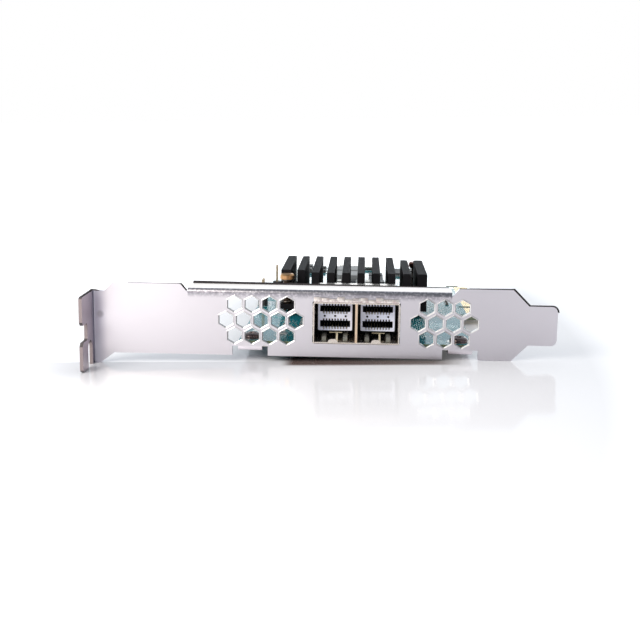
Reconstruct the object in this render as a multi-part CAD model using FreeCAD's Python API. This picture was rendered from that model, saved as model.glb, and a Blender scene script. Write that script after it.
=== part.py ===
import FreeCAD, Part
import math
import os

# Host bus adapter: a folded steel bracket, a low-profile plug-in board with gold edge contacts,
# a shielded pair of cable ports, and a finned heat sink held down by two sprung push pins.
# While it is modelled, X runs along the bracket from the tab's outer face to the tongue's end,
# Y runs back along the board from the bracket's front face, and Z runs up from the lower edge
# of the bracket's plate. Every piece is then moved so that the origin is under the middle of
# the whole card. All sizes are in millimetres.

# Bracket: sheet, overall size, tongue and screw tab
sheet = 0.86
bend_inner = 0.4
bracket_length = 120.02
plate_width = 18.42
tongue_width = 10.19
tongue_length = 7.27
tongue_radius = 1.5
tongue_shoulder = 4.115
tab_width = 19.05
tab_depth = 11.43
tab_drop = 2.83
tab_radius = 0.9
tab_upper_neck = 3.8
tab_lower_neck = 2.4
tab_lower_slope = 3.75
screw_slot_width = 4.42
screw_slot_reach = 6.8
screw_slot_setback = 1.6
front_notch_low = 7.4
front_notch_height = 4.4
front_notch_depth = 5.03
front_notch_flare = 0.9
front_notch_radius = 0.8

# Bracket: stiffening flange on the upper edge and ears that carry the board
flange_start = 25.4
flange_length = 67.7
flange_depth = 7.9
flange_drop = 0.92
flange_radius = 1.2
flange_relief_width = 1.8
flange_relief_depth = 2.25
ear_centres = (41.5, 95.6)
ear_width = 6.2
ear_depth = 9.0
ear_radius = 1.0
ear_relief = 1.5
ear_lift = 1.22
ear_hole_radius = 1.45
ear_hole_setback = 5.5

# Bracket: six-sided vents, the window for the ports and a round punch mark beside the tab
vent_across_flats = 3.7
vent_pitch = 4.5
vent_row_pitch = 4.13
vent_middle_height = 9.29
vent_groups = ((44.3, (4, 5, 4)), (91.4, (3, 4, 3)))
punch_mark_across = 2.6
punch_mark_height = 10.1
punch_mark_radius = 1.2
punch_mark_depth = 0.12
port_middle = 68.83
window_clearance = 0.18
window_radius = 0.5

# Board
board_thickness = 1.57
board_near_edge = 38.4
board_body_width = 60.65
board_bend_gap = 0.04
board_length = 142.7
board_corner = 1.0
contact_tab_drop = 8.25
contact_tab_start = 45.0
contact_tab_bevel = 0.45
contact_tab_bevel_run = 1.2
contact_pitch = 1.0
contacts_before_key = 11
contacts_after_key = 38
key_width = 1.9
key_depth = 7.6
contact_edge_margin = 0.325
contact_width = 0.7
contact_length = 4.6
contact_end_gap = 1.3
contact_thickness = 0.05
hook_gap = 2.2
hook_length = 7.5
hook_drop = 4.0

# Bracket screws
screw_radius = 1.25
screw_head_radius = 2.4
screw_head_height = 1.5
screw_head_bevel = 0.6
screw_tail = 0.8
screw_hole_clearance = 0.2

# Port cage: one folded shell, a divider, a floor and the earthing fingers round its mouth
cage_wall = 0.3
cage_width = 22.2
cage_height = 10.65
cage_depth = 33.0
cage_proud = 0.3
cage_fold_radius = 0.5
cage_tail_width = 0.8
cage_tail_length = 2.4
cage_tail_pitch = 9.0
cage_tail_count = 4
cage_tail_clearance = 0.15
cage_vent_length = 2.4
cage_vent_width = 1.2
cage_vent_pitch = 4.0
cage_vent_columns = 4
cage_vent_rows = 2
cage_vent_back_margin = 6.0
divider_thickness = 0.6
finger_sheet = 0.1
finger_width = 1.5
finger_margin = 1.125
finger_window_gap = 0.14
side_finger_pitch = 2.05
side_finger_lift = 1.925
finger_length = 4.4
finger_rise = 0.55
fingers_on_top = 10
fingers_on_side = 4

# Receptacles: moulded nose with two card slots and four rows of contacts
nose_width = 8.9
nose_setback = 5.3
nose_lift = 2.35
nose_height = 7.6
nose_length = 9.0
nose_radius = 0.3
slot_width = 7.9
slot_depth = 8.0
slot_lower_lift = 0.93
slot_lower_height = 1.72
slot_upper_lift = 4.97
slot_upper_height = 1.62
pin_pitch = 0.75
pins_per_row = 9
channel_width = 0.4
channel_height = 0.55
pin_width = 0.28
pin_height = 0.22
web_hole_radius = 0.3
web_hole_pitch = 2.74
web_hole_depth = 3.0
web_hole_count = 3
housing_side_gap = 0.15
housing_length = 14.0
housing_top_gap = 0.35

# Light guides and lamps under the receptacles, earthing leaf in front of them
guide_size = 1.1
guide_spread = 2.75
guide_setback = 1.2
lamp_length = 1.6
lamp_width = 0.8
lamp_height = 0.35
leaf_thickness = 0.12
leaf_stem_width = 0.5
leaf_stem_offset = 0.55
leaf_bar_width = 3.4
leaf_bar_depth = 0.8
leaf_rise = 1.5
leaf_start = 0.6
leaf_reach = 5.6
lip_radius = 0.8
lip_height = 0.85

# Controller package and heat sink
sink_left = 46.35
sink_front = 37.5
sink_length = 36.2
sink_base = 1.5
sink_height = 10.95
fin_count = 10
fin_pitch = 4.422
fin_thickness = 2.2
outer_fin_thickness = 2.75
fin_tip_bevel = 0.12
pocket_fins = 2
package_size = 27.0
package_substrate = 0.8
package_cap_size = 22.0
package_cap_height = 0.9
package_cap_radius = 0.6
pad_size = 20.0
pad_thickness = 0.2

# Push pins that hold the heat sink down
push_pin_edge = 2.0
push_pin_front_edge = 2.2
push_pin_back_edge = 3.2
push_pin_shank = 1.2
push_pin_head_radius = 2.1
push_pin_head_height = 1.5
push_pin_stand = 8.65
push_pin_head_bevel = 0.4
push_pin_barb_radius = 1.75
push_pin_barb_height = 1.0
push_pin_barb_land = 0.3
push_pin_tip_radius = 0.8
push_pin_split = 0.5
push_pin_split_length = 4.2
push_pin_hole_clearance = 0.25
push_pin_pocket = 0.3
spring_wire = 0.45
spring_gap = 0.15
spring_turns = 3
spring_wire_sides = 4
spring_end_gap = 0.02

# Soldered parts: leads stand on the board at this thickness
lead_thickness = 0.15
lead_shoulder = 0.25
lead_slope = 0.25
lead_foot = 0.5
body_standoff = 0.1
body_draft = 0.12

# Memory, boot and logic chips: body, number of leads a side, pitch and lead width
memory_body = (8.2, 12.4, 1.0)
memory_leads_a_side = 12
memory_pitch = 0.65
memory_lead_width = 0.3
boot_body = (3.9, 4.9, 1.5)
boot_leads_a_side = 4
boot_pitch = 1.27
boot_lead_width = 0.42
logic_body = (2.8, 2.9, 1.0)
logic_leads_a_side = 3
logic_pitch = 0.95
logic_lead_width = 0.26

# Power parts
inductor_size = (10.0, 10.0, 4.0)
inductor_corner = 1.6
inductor_terminal = 0.5
regulator_size = (5.0, 5.0, 0.9)
transistor_size = (5.0, 6.0, 1.0)
bulk_size = (7.3, 4.3, 2.8, 0.6)

# Two-ended chip parts: length, width, height and length of each end cap
ceramic_size = (2.0, 1.25, 1.0, 0.4)
resistor_size = (1.6, 0.8, 0.45, 0.3)
coupling_size = (1.0, 0.5, 0.5, 0.22)
coupling_count = 14
coupling_pitch = 2.2
coupling_setback = 2.4
coupling_start = 3.0
back_capacitor_columns = 3
back_capacitor_rows = 2
back_capacitor_pitch = 5.0

# Oscillator, pin headers and lamps on the board
oscillator_size = (5.0, 3.2, 0.7)
oscillator_lid_inset = 0.35
oscillator_lid_height = 0.5
header_pitch = 2.54
header_height = 2.54
header_pin = 0.64
header_pin_rise = 8.0
header_pin_tail = 0.9
header_chamfer = 0.4
jumper_pins = 4
enable_pins = 2
pin_hole_radius = 0.5
status_lamp_size = (1.6, 0.8, 0.7)
status_lamp_count = 3
status_lamp_pitch = 2.6

# Where groups of soldered parts stand, from the board's edges and the heat sink's back
jumper_edge = 3.3
jumper_back_of_sink = 12.9
enable_edge = 1.5
enable_behind_sink_front = 16.5
memory_edge = 13.0
memory_back_edge = 18.0
boot_edge = 49.35
boot_back_edges = (10.0, 18.0)
logic_edge = 43.75
logic_back_edges = (10.0, 18.0)
inductor_edge = 27.6
inductor_back_edges = (33.0, 46.0)
regulator_edge = 36.6
transistor_back_edges = (26.5, 39.5)
bulk_edge = 26.6
bulk_back_of_sink = (9.0, 15.5)
bulk_columns = 2
bulk_column_pitch = 9.5
oscillator_edge = 34.6
oscillator_back_edge = 9.0
status_lamp_edge = 24.0
status_lamp_back_edge = 2.5
ceramic_behind_sink = 3.0
ceramic_behind_cage = 3.5
ceramic_margin = 3.0
ceramic_pitch = 4.4
ceramics_behind_sink = 9
ceramics_behind_cage = 5
ceramic_beside_cage = (4.0, 8.5)
ceramic_beside_start = 11.0
ceramic_beside_pitch = 8.5
ceramics_beside_cage = 3
resistor_behind_sink = 12.0
resistor_start = 13.0
resistor_pitch = 2.2
resistor_columns = 4
resistor_rows = 2
resistor_row_pitch = 3.0

# Small sizes of the ports
cage_tail_first = 4.0
cage_floor_end = 11.0
lip_width = 2.5
lip_offset = -0.4
leaf_foot = 0.8
leaf_bar_offset = 0.2
pin_setback = 0.6
lamp_setback = 0.8

# Levels and places that follow from the sizes above
bend_outer = bend_inner + sheet
tab_low = -tab_drop
tab_high = tab_low + tab_width
tongue_low = (plate_width - tongue_width) / 2
shoulder_end = bracket_length - tongue_length
shoulder_start = shoulder_end - tongue_shoulder
board_low = ear_lift + sheet
board_high = board_low + board_thickness
board_front = bend_outer + board_bend_gap
board_back = board_front + board_length
board_far_edge = board_near_edge + board_body_width
contact_edge = board_far_edge + contact_tab_drop
key_start = contact_tab_start + contacts_before_key * contact_pitch + 2 * contact_edge_margin
key_end = key_start + key_width
contact_tab_end = key_end + contacts_after_key * contact_pitch + 2 * contact_edge_margin
cage_left = port_middle - cage_width / 2
cage_right = port_middle + cage_width / 2
cage_top = board_high + cage_height
cage_front = -cage_proud
cage_back = cage_front + cage_depth
port_bay = (cage_width - 2 * cage_wall - divider_thickness) / 2
port_offset = (port_bay + divider_thickness) / 2
port_centres = (port_middle - port_offset, port_middle + port_offset)
finger_flat = cage_proud + sheet + finger_window_gap
top_finger_pitch = (cage_width - 2 * finger_margin - finger_width) / (fingers_on_top - 1)
cage_floor_top = board_high + cage_wall
nose_low = board_high + nose_lift
nose_high = nose_low + nose_height
slot_lower = (nose_low + slot_lower_lift, nose_low + slot_lower_lift + slot_lower_height)
slot_upper = (nose_low + slot_upper_lift, nose_low + slot_upper_lift + slot_upper_height)
nose_back = nose_setback + nose_length
sink_width = (fin_count - 1) * fin_pitch + outer_fin_thickness
sink_right = sink_left + sink_width
sink_back = sink_front + sink_length
package_top = board_high + package_substrate + package_cap_height
sink_low = package_top + pad_thickness
sink_base_top = sink_low + sink_base
sink_top = sink_low + sink_height
push_pin_head_top = sink_base_top + push_pin_stand
header_pin_top = board_high + header_pin_rise
sink_centre_x = (sink_left + sink_right) / 2
sink_centre_y = (sink_front + sink_back) / 2
push_pin_places = (
    (sink_left + push_pin_edge, sink_front + push_pin_front_edge),
    (sink_right - push_pin_edge, sink_back - push_pin_back_edge),
)
push_pin_hole = push_pin_shank + push_pin_hole_clearance

origin = FreeCAD.Vector(bracket_length / 2, (board_back - tab_depth) / 2, tab_low)
TOLERANCE = 1e-6


# Helpers
def vec(x, y, z):
    """A point or direction in space."""
    return FreeCAD.Vector(x, y, z)


def box(x0, x1, y0, y1, z0, z1):
    """A block between two corners."""
    return Part.makeBox(x1 - x0, y1 - y0, z1 - z0, vec(x0, y0, z0))


def rod(x, y, z, radius, length):
    """An upright cylinder that stands on the point given."""
    return Part.makeCylinder(radius, length, vec(x, y, z))


def in_plan(height):
    """Puts an outline's points flat at a height."""
    return lambda u, v: vec(u, v, height)


def in_front(depth):
    """Puts an outline's points upright, facing along Y, at a depth behind the bracket's face."""
    return lambda u, v: vec(u, depth, v)


def in_side(across):
    """Puts an outline's points upright, facing along X; the first number runs back along Y."""
    return lambda u, v: vec(across, u, v)


def rounded_face(corners, place):
    """A flat face through corners (u, v, radius); a radius of 0 leaves the corner sharp."""
    entries, exits, edges = [], [], []
    count = len(corners)
    for i, (u, v, radius) in enumerate(corners):
        here = vec(u, v, 0)
        before = vec(*corners[i - 1][:2], 0) - here
        after = vec(*corners[(i + 1) % count][:2], 0) - here
        half = before.getAngle(after) / 2
        reach = radius / math.tan(half)
        before.normalize()
        after.normalize()
        entries.append(here + before * reach)
        exits.append(here + after * reach)
        if radius:
            inward = (before + after).normalize()
            middle = here + inward * (radius / math.sin(half) - radius)
            arc = [place(p.x, p.y) for p in (entries[-1], middle, exits[-1])]
            edges.append(Part.Arc(*arc).toShape())
        else:
            edges.append(None)
    ordered = []
    for i in range(count):
        if edges[i]:
            ordered.append(edges[i])
        start, end = exits[i], entries[(i + 1) % count]
        if (end - start).Length > TOLERANCE:
            ordered.append(Part.makeLine(place(start.x, start.y), place(end.x, end.y)))
    return Part.Face(Part.Wire(ordered))


def sharp(points):
    """Corners with no rounding."""
    return [(u, v, 0) for u, v in points]


def rounded_box(x0, x1, y0, y1, z0, z1, radius):
    """A block with its four upright edges rounded."""
    corners = [(x0, y0, radius), (x1, y0, radius), (x1, y1, radius), (x0, y1, radius)]
    return rounded_face(corners, in_plan(z0)).extrude(vec(0, 0, z1 - z0))


def turned(x, y, profile):
    """A turned piece on an upright axis, from its profile of radius and height."""
    face = rounded_face(sharp(profile), lambda u, v: vec(x + u, y, v))
    return face.revolve(vec(x, y, 0), vec(0, 0, 1), 360)


def joined(first, *others):
    """One solid from pieces that share faces or overlap."""
    return first.fuse(list(others)).removeSplitter()


def write(name, *solids):
    """Moves a node's solids to the card's origin and writes them as one file."""
    shape = Part.makeCompound(list(solids)) if len(solids) > 1 else solids[0]
    shape.translate(-origin)
    shape.exportStep("parts/%s.step" % name)


# Bracket
def quarter_bend(corner, into_leg, into_plate, width):
    """The bent stretch of the sheet: its outer corner, the two directions it joins, its width."""
    section = [(0, 0, bend_outer), (bend_outer, 0, 0), (bend_outer, sheet, 0),
               (sheet, sheet, bend_inner), (sheet, bend_outer, 0), (0, bend_outer, 0)]
    face = rounded_face(section, lambda u, v: corner + into_leg * u + into_plate * v)
    return face.extrude(width)


def bracket_plate():
    """The flat plate, from the tab's bend to the tongue, with reliefs beside every bend."""
    flange_end = flange_start + flange_length
    flange_bend = plate_width - flange_drop - bend_outer
    relief_low = plate_width - flange_relief_depth
    ear_bend = ear_lift + bend_outer
    corners = sharp([(bend_outer, tab_low), (tab_lower_neck, tab_low), (tab_lower_neck + tab_lower_slope, 0)])
    for centre in ear_centres:
        left = centre - ear_width / 2 - ear_relief
        right = centre + ear_width / 2 + ear_relief
        corners += sharp([(left, 0), (left, ear_bend), (right, ear_bend), (right, 0)])
    corners += sharp([(shoulder_start, 0), (shoulder_end, tongue_low)])
    corners += [(bracket_length, tongue_low, tongue_radius),
                (bracket_length, tongue_low + tongue_width, tongue_radius)]
    corners += sharp([(shoulder_end, tongue_low + tongue_width), (shoulder_start, plate_width)])
    corners += sharp([(flange_end + flange_relief_width, plate_width), (flange_end, relief_low),
                      (flange_end, flange_bend), (flange_start, flange_bend),
                      (flange_start, relief_low), (flange_start - flange_relief_width, plate_width)])
    upper_slope = plate_width - tab_high
    corners += sharp([(tab_upper_neck + upper_slope, plate_width), (tab_upper_neck, tab_high),
                      (bend_outer, tab_high)])
    return rounded_face(corners, in_front(0)).extrude(vec(0, sheet, 0))


def bracket_tab():
    """The screw tab, with its open screw slot and the notch in its free edge."""
    slot_end = screw_slot_setback + screw_slot_width
    slot_top = tab_low + screw_slot_reach
    slot_round = screw_slot_width / 2
    notch_back = tab_depth - front_notch_depth
    notch_low = tab_low + front_notch_low
    notch_high = notch_low + front_notch_height
    mouth = tab_depth - front_notch_flare
    corners = [(bend_inner, tab_low, 0), (screw_slot_setback, tab_low, 0),
               (screw_slot_setback, slot_top, slot_round), (slot_end, slot_top, slot_round),
               (slot_end, tab_low, 0), (tab_depth, tab_low, tab_radius),
               (tab_depth, notch_low - front_notch_flare, 0), (mouth, notch_low, 0),
               (notch_back, notch_low, front_notch_radius), (notch_back, notch_high, front_notch_radius),
               (mouth, notch_high, 0), (tab_depth, notch_high + front_notch_flare, 0),
               (tab_depth, tab_high, tab_radius), (bend_inner, tab_high, 0)]
    flat = rounded_face(corners, lambda u, v: vec(0, -u, v)).extrude(vec(sheet, 0, 0))
    bend = quarter_bend(vec(0, sheet, tab_low), vec(0, -1, 0), vec(1, 0, 0), vec(0, 0, tab_width))
    return [flat, bend]


def bracket_leaf(start, width, depth, low, radius, lower_edge):
    """A strip bent back from the plate: an ear on the lower edge or the flange on the upper one."""
    corners = [(start, bend_outer, 0), (start + width, bend_outer, 0),
               (start + width, depth, radius), (start, depth, radius)]
    flat = rounded_face(corners, in_plan(low)).extrude(vec(0, 0, sheet))
    corner_height = low if lower_edge else low + sheet
    towards_plate = vec(0, 0, 1 if lower_edge else -1)
    bend = quarter_bend(vec(start, 0, corner_height), vec(0, 1, 0), towards_plate, vec(width, 0, 0))
    return [flat, bend]


def vent_cutters():
    """Six-sided prisms for the two groups of vents, a corner pointing up."""
    cutters = []
    corner_reach = vent_across_flats / math.sqrt(3)
    for middle, rows in vent_groups:
        for row, count in enumerate(rows):
            height = vent_middle_height + (1 - row) * vent_row_pitch
            for column in range(count):
                across = middle + (column - (count - 1) / 2) * vent_pitch
                turns = [math.radians(30 + 60 * side) for side in range(6)]
                points = [(across + corner_reach * math.cos(t), height + corner_reach * math.sin(t))
                          for t in turns]
                cutters.append(rounded_face(sharp(points), in_front(-sheet)).extrude(vec(0, 3 * sheet, 0)))
    return cutters


def window_cutter():
    """The window that the port cage looks out of, a clearance larger than the cage."""
    x0, x1 = cage_left - window_clearance, cage_right + window_clearance
    z0, z1 = board_high - window_clearance, cage_top + window_clearance + finger_sheet
    corners = [(u, v, window_radius) for u, v in ((x0, z0), (x1, z0), (x1, z1), (x0, z1))]
    return rounded_face(corners, in_front(-sheet)).extrude(vec(0, 3 * sheet, 0))


def punch_mark():
    """The shallow round mark pressed into the plate's front beside the tab."""
    start = vec(punch_mark_across, 0, punch_mark_height)
    return Part.makeCylinder(punch_mark_radius, punch_mark_depth, start, vec(0, 1, 0))


def bracket():
    """The whole bracket, folded from one sheet."""
    flange_low = plate_width - flange_drop - sheet
    pieces = bracket_tab()
    pieces += bracket_leaf(flange_start, flange_length, flange_depth, flange_low, flange_radius, False)
    for centre in ear_centres:
        pieces += bracket_leaf(centre - ear_width / 2, ear_width, ear_depth, ear_lift, ear_radius, True)
    cutters = vent_cutters() + [window_cutter(), punch_mark()]
    cutters += [rod(x, ear_hole_setback, 0, ear_hole_radius, board_high) for x in ear_centres]
    return joined(bracket_plate(), *pieces).cut(cutters)


def bracket_screws():
    """Bevel-headed screws that clamp the board on the bracket's ears."""
    screws = []
    for x in ear_centres:
        length = board_high - ear_lift + screw_tail
        low, top = board_high - length, board_high + screw_head_height
        profile = [(0, low), (screw_radius, low), (screw_radius, board_high),
                   (screw_head_radius, board_high), (screw_head_radius, top - screw_head_bevel),
                   (screw_head_radius - screw_head_bevel, top), (0, top)]
        screws.append(turned(x, ear_hole_setback, profile))
    return screws


# Board and its edge contacts
def board(pin_holes):
    """The plug-in board: contact tab with key slot and bevel, keeper hook, drilled holes."""
    hook_start = contact_tab_end + hook_gap
    hook_end = hook_start + hook_length
    key_round = key_width / 2
    corners = [(board_near_edge, board_front, board_corner), (board_far_edge, board_front, board_corner),
               (board_far_edge, contact_tab_start, 0), (contact_edge, contact_tab_start, 0),
               (contact_edge, key_start, 0), (contact_edge - key_depth, key_start, key_round),
               (contact_edge - key_depth, key_end, key_round), (contact_edge, key_end, 0),
               (contact_edge, contact_tab_end, 0), (board_far_edge, contact_tab_end, 0),
               (board_far_edge, hook_start, 0), (board_far_edge + hook_drop, hook_start, 0),
               (board_far_edge + hook_drop, hook_end, 0), (board_far_edge, hook_end, 0),
               (board_far_edge, board_back, board_corner), (board_near_edge, board_back, board_corner)]
    slab = rounded_face(corners, in_plan(board_low)).extrude(vec(0, 0, board_thickness))
    bevel_in = contact_edge - contact_tab_bevel_run
    bevel_length = vec(0, contact_tab_end - contact_tab_start, 0)
    cutters = []
    for face, step in ((board_high, -contact_tab_bevel), (board_low, contact_tab_bevel)):
        wedge = sharp([(bevel_in, face), (contact_edge, face), (contact_edge, face + step)])
        cutters.append(rounded_face(wedge, in_front(contact_tab_start)).extrude(bevel_length))
    screw_hole = screw_radius + screw_hole_clearance
    round_holes = [(x, ear_hole_setback, screw_hole) for x in ear_centres]
    round_holes += [(x, y, push_pin_hole) for x, y in push_pin_places]
    round_holes += [(x, y, pin_hole_radius) for x, y in pin_holes]
    cutters += [rod(x, y, board_low, radius, board_thickness) for x, y, radius in round_holes]
    cutters += [tail_block(x, y, cage_tail_clearance, board_low, board_high) for x, y in cage_tails()]
    return slab.cut(cutters)


def edge_contacts():
    """Gold contacts on both faces of the contact tab, in a short and a long run."""
    pads = []
    x1 = contact_edge - contact_end_gap
    x0 = x1 - contact_length
    for start, count in ((contact_tab_start, contacts_before_key), (key_end, contacts_after_key)):
        for i in range(count):
            middle = start + contact_edge_margin + (i + 0.5) * contact_pitch
            y0, y1 = middle - contact_width / 2, middle + contact_width / 2
            pads.append(box(x0, x1, y0, y1, board_high, board_high + contact_thickness))
            pads.append(box(x0, x1, y0, y1, board_low - contact_thickness, board_low))
    return pads


# Port cage
def cage_tails():
    """Centres of the tails that hold the cage in the board, along both side walls."""
    first = cage_front + cage_tail_first
    rows = [first + i * cage_tail_pitch for i in range(cage_tail_count)]
    walls = (cage_left + cage_wall / 2, cage_right - cage_wall / 2)
    return [(x, y) for x in walls for y in rows]


def tail_block(x, y, clearance, low, high):
    """One flat tail of the cage, or the slot for it when a clearance is given."""
    half_thick = cage_wall / 2 + clearance
    half_wide = cage_tail_width / 2 + clearance
    return box(x - half_thick, x + half_thick, y - half_wide, y + half_wide, low, high)


def port_cage():
    """The folded shell of the cage: roof, two sides, back wall and tails."""
    inner_fold = cage_fold_radius - cage_wall
    inside_left, inside_right = cage_left + cage_wall, cage_right - cage_wall
    inside_top = cage_top - cage_wall
    section = [(cage_left, board_high, 0), (cage_left, cage_top, cage_fold_radius),
               (cage_right, cage_top, cage_fold_radius), (cage_right, board_high, 0),
               (inside_right, board_high, 0), (inside_right, inside_top, inner_fold),
               (inside_left, inside_top, inner_fold), (inside_left, board_high, 0)]
    shell = rounded_face(section, in_front(cage_front)).extrude(vec(0, cage_depth, 0))
    back = box(cage_left, cage_right, cage_back - cage_wall, cage_back, board_high,
               cage_top - cage_fold_radius)
    tails = [tail_block(x, y, 0, board_high - cage_tail_length, board_high) for x, y in cage_tails()]
    vents = []
    for column in range(cage_vent_columns):
        for row in range(cage_vent_rows):
            x = port_middle + (column - (cage_vent_columns - 1) / 2) * cage_vent_pitch
            y = cage_back - cage_vent_back_margin - row * cage_vent_pitch
            half_long, half_wide = cage_vent_length / 2, cage_vent_width / 2
            vents.append(box(x - half_wide, x + half_wide, y - half_long, y + half_long,
                             inside_top, cage_top))
    return joined(shell, back, *tails).cut(vents)


def cage_divider():
    """The upright wall between the two ports."""
    half = divider_thickness / 2
    return box(port_middle - half, port_middle + half, cage_front, cage_back - cage_wall,
               cage_floor_top, cage_top - cage_wall)


def cage_floor():
    """The floor in front of the receptacles, with a rounded lip turned up under each port."""
    floor = box(cage_left + cage_wall, cage_right - cage_wall, cage_front, cage_floor_end,
                board_high, cage_floor_top)
    lips = []
    for x in port_centres:
        left = x + lip_offset - lip_width / 2
        right = left + lip_width
        top = cage_floor_top + lip_height
        corners = [(left, cage_floor_top, 0), (right, cage_floor_top, 0),
                   (right, top, lip_radius), (left, top, lip_radius)]
        lips.append(rounded_face(corners, in_front(cage_front)).extrude(vec(0, cage_wall, 0)))
    return joined(floor, *lips)


def earthing_fingers():
    """Bowed spring fingers along the roof and the sides of the cage, behind the bracket's window."""
    middle = (finger_flat + finger_length) / 2
    path = [(0, 0), (finger_flat, 0), (middle, finger_rise), (finger_length, 0)]
    section = path + [(run, out + finger_sheet) for run, out in reversed(path)]
    fingers = []
    for i in range(fingers_on_top):
        x = port_middle + (i - (fingers_on_top - 1) / 2) * top_finger_pitch - finger_width / 2
        face = rounded_face(sharp(section), lambda u, v: vec(x, cage_front + u, cage_top + v))
        fingers.append(face.extrude(vec(finger_width, 0, 0)))
    for wall, outward in ((cage_left, -1), (cage_right, 1)):
        for i in range(fingers_on_side):
            z = board_high + side_finger_lift + i * side_finger_pitch
            face = rounded_face(sharp(section), lambda u, v: vec(wall + outward * v, cage_front + u, z))
            fingers.append(face.extrude(vec(0, 0, finger_width)))
    return fingers


def earthing_leaves():
    """A thin T-shaped leaf in front of each receptacle, rising from the cage's floor."""
    leaves = []
    foot, low = cage_floor_top, cage_floor_top + leaf_rise - leaf_thickness
    high = low + leaf_thickness
    foot_end = leaf_start + leaf_foot
    section = sharp([(leaf_start, foot), (foot_end, foot), (leaf_reach, low), (leaf_reach, high),
                     (foot_end, foot + leaf_thickness), (leaf_start, foot + leaf_thickness)])
    for x in port_centres:
        stem_left = x + leaf_stem_offset - leaf_stem_width / 2
        stem = rounded_face(section, in_side(stem_left)).extrude(vec(leaf_stem_width, 0, 0))
        bar_left = x + leaf_bar_offset - leaf_bar_width / 2
        bar = box(bar_left, bar_left + leaf_bar_width, leaf_reach, leaf_reach + leaf_bar_depth, low, high)
        leaves.append(joined(stem, bar))
    return leaves


# Receptacles
def contact_rows():
    """Each row of contacts: the slot edge it lies along and the side that its channels cut into."""
    return [(slot_lower[0], -1), (slot_lower[1], 1), (slot_upper[0], -1), (slot_upper[1], 1)]


def row_places(x):
    """Places of a row's contacts across a receptacle."""
    return [x + (i - (pins_per_row - 1) / 2) * pin_pitch for i in range(pins_per_row)]


def receptacle_housing(x):
    """The moulded block: a nose with two card slots, contact channels and web holes, and its body."""
    half = nose_width / 2
    corners = [(x - half, nose_low, nose_radius), (x + half, nose_low, nose_radius),
               (x + half, nose_high, nose_radius), (x - half, nose_high, nose_radius)]
    nose = rounded_face(corners, in_front(nose_setback)).extrude(vec(0, nose_length, 0))
    body_half = port_bay / 2 - housing_side_gap
    body = box(x - body_half, x + body_half, nose_back, nose_back + housing_length, board_high,
               cage_top - cage_wall - housing_top_gap)
    slot_back = nose_setback + slot_depth
    cutters = []
    for low, high in (slot_lower, slot_upper):
        cutters.append(box(x - slot_width / 2, x + slot_width / 2, nose_setback, slot_back, low, high))
    for edge, side in contact_rows():
        low, high = sorted((edge, edge + side * channel_height))
        for place in row_places(x):
            left = place - channel_width / 2
            cutters.append(box(left, left + channel_width, nose_setback, slot_back, low, high))
    web_middle = (slot_lower[1] + slot_upper[0]) / 2
    for i in range(web_hole_count):
        across = x + (i - (web_hole_count - 1) / 2) * web_hole_pitch
        start = vec(across, nose_setback, web_middle)
        cutters.append(Part.makeCylinder(web_hole_radius, web_hole_depth, start, vec(0, 1, 0)))
    return joined(nose, body).cut(cutters)


def receptacle_contacts(x):
    """The contact blades, each lying on the floor of its own channel."""
    blades = []
    for edge, side in contact_rows():
        outer = edge + side * channel_height
        low, high = sorted((outer, outer - side * pin_height))
        for place in row_places(x):
            left = place - pin_width / 2
            blades.append(box(left, left + pin_width, nose_setback + pin_setback,
                              nose_setback + slot_depth, low, high))
    return blades


def guide_centres():
    """Where the light guides run, two under each receptacle."""
    return [x + side * guide_spread for x in port_centres for side in (-1, 1)]


def light_guides():
    """Clear bars that carry the lamps' light to the front, from the receptacles' bodies."""
    guides = []
    low = board_high + lamp_height
    high = low + guide_size
    for x in guide_centres():
        left, right = x - guide_size / 2, x + guide_size / 2
        guides.append(box(left, right, guide_setback, nose_back, low, high))
    return guides


def port_lamps():
    """The lamps on the board under the far ends of the light guides."""
    start = nose_back - lamp_setback - lamp_length
    return [box(x - lamp_width / 2, x + lamp_width / 2, start, start + lamp_length,
                board_high, board_high + lamp_height) for x in guide_centres()]


# Heat sink, controller and push pins
def fin_sides(index):
    """The left and right sides of a heat sink fin, counted from 0; the two outer fins are thicker."""
    outer = index in (0, fin_count - 1)
    half = (outer_fin_thickness if outer else fin_thickness) / 2
    middle = sink_left + outer_fin_thickness / 2 + index * fin_pitch
    return middle - half, middle + half


def heat_sink():
    """A base with straight fins, drawn as one section, with pockets and holes for the push pins."""
    section = [(sink_left, sink_low, 0), (sink_right, sink_low, 0)]
    for index in reversed(range(fin_count)):
        left, right = fin_sides(index)
        if index < fin_count - 1:
            section.append((right, sink_base_top, 0))
        shoulder = sink_top - fin_tip_bevel
        section += sharp([(right, shoulder), (right - fin_tip_bevel, sink_top),
                          (left + fin_tip_bevel, sink_top), (left, shoulder)])
        if index:
            section.append((left, sink_base_top, 0))
    bar = rounded_face(section, in_front(sink_front)).extrude(vec(0, sink_length, 0))
    reach = push_pin_head_radius + push_pin_pocket
    front_y, back_y = push_pin_places[0][1] + reach, push_pin_places[1][1] - reach
    front_right = fin_sides(pocket_fins - 1)[1]
    back_left = fin_sides(fin_count - pocket_fins)[0]
    pockets = [box(sink_left, front_right, sink_front, front_y, sink_base_top, sink_top),
               box(back_left, sink_right, back_y, sink_back, sink_base_top, sink_top)]
    holes = [rod(x, y, sink_low, push_pin_hole, sink_base) for x, y in push_pin_places]
    return bar.cut(pockets + holes)


def centred_block(x, y, size, low, height):
    """A square block centred on a point."""
    half = size / 2
    return box(x - half, x + half, y - half, y + half, low, low + height)


def controller_cap():
    """The moulded cap on the controller's substrate."""
    half = package_cap_size / 2
    low = board_high + package_substrate
    return rounded_box(sink_centre_x - half, sink_centre_x + half, sink_centre_y - half,
                       sink_centre_y + half, low, low + package_cap_height, package_cap_radius)


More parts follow.
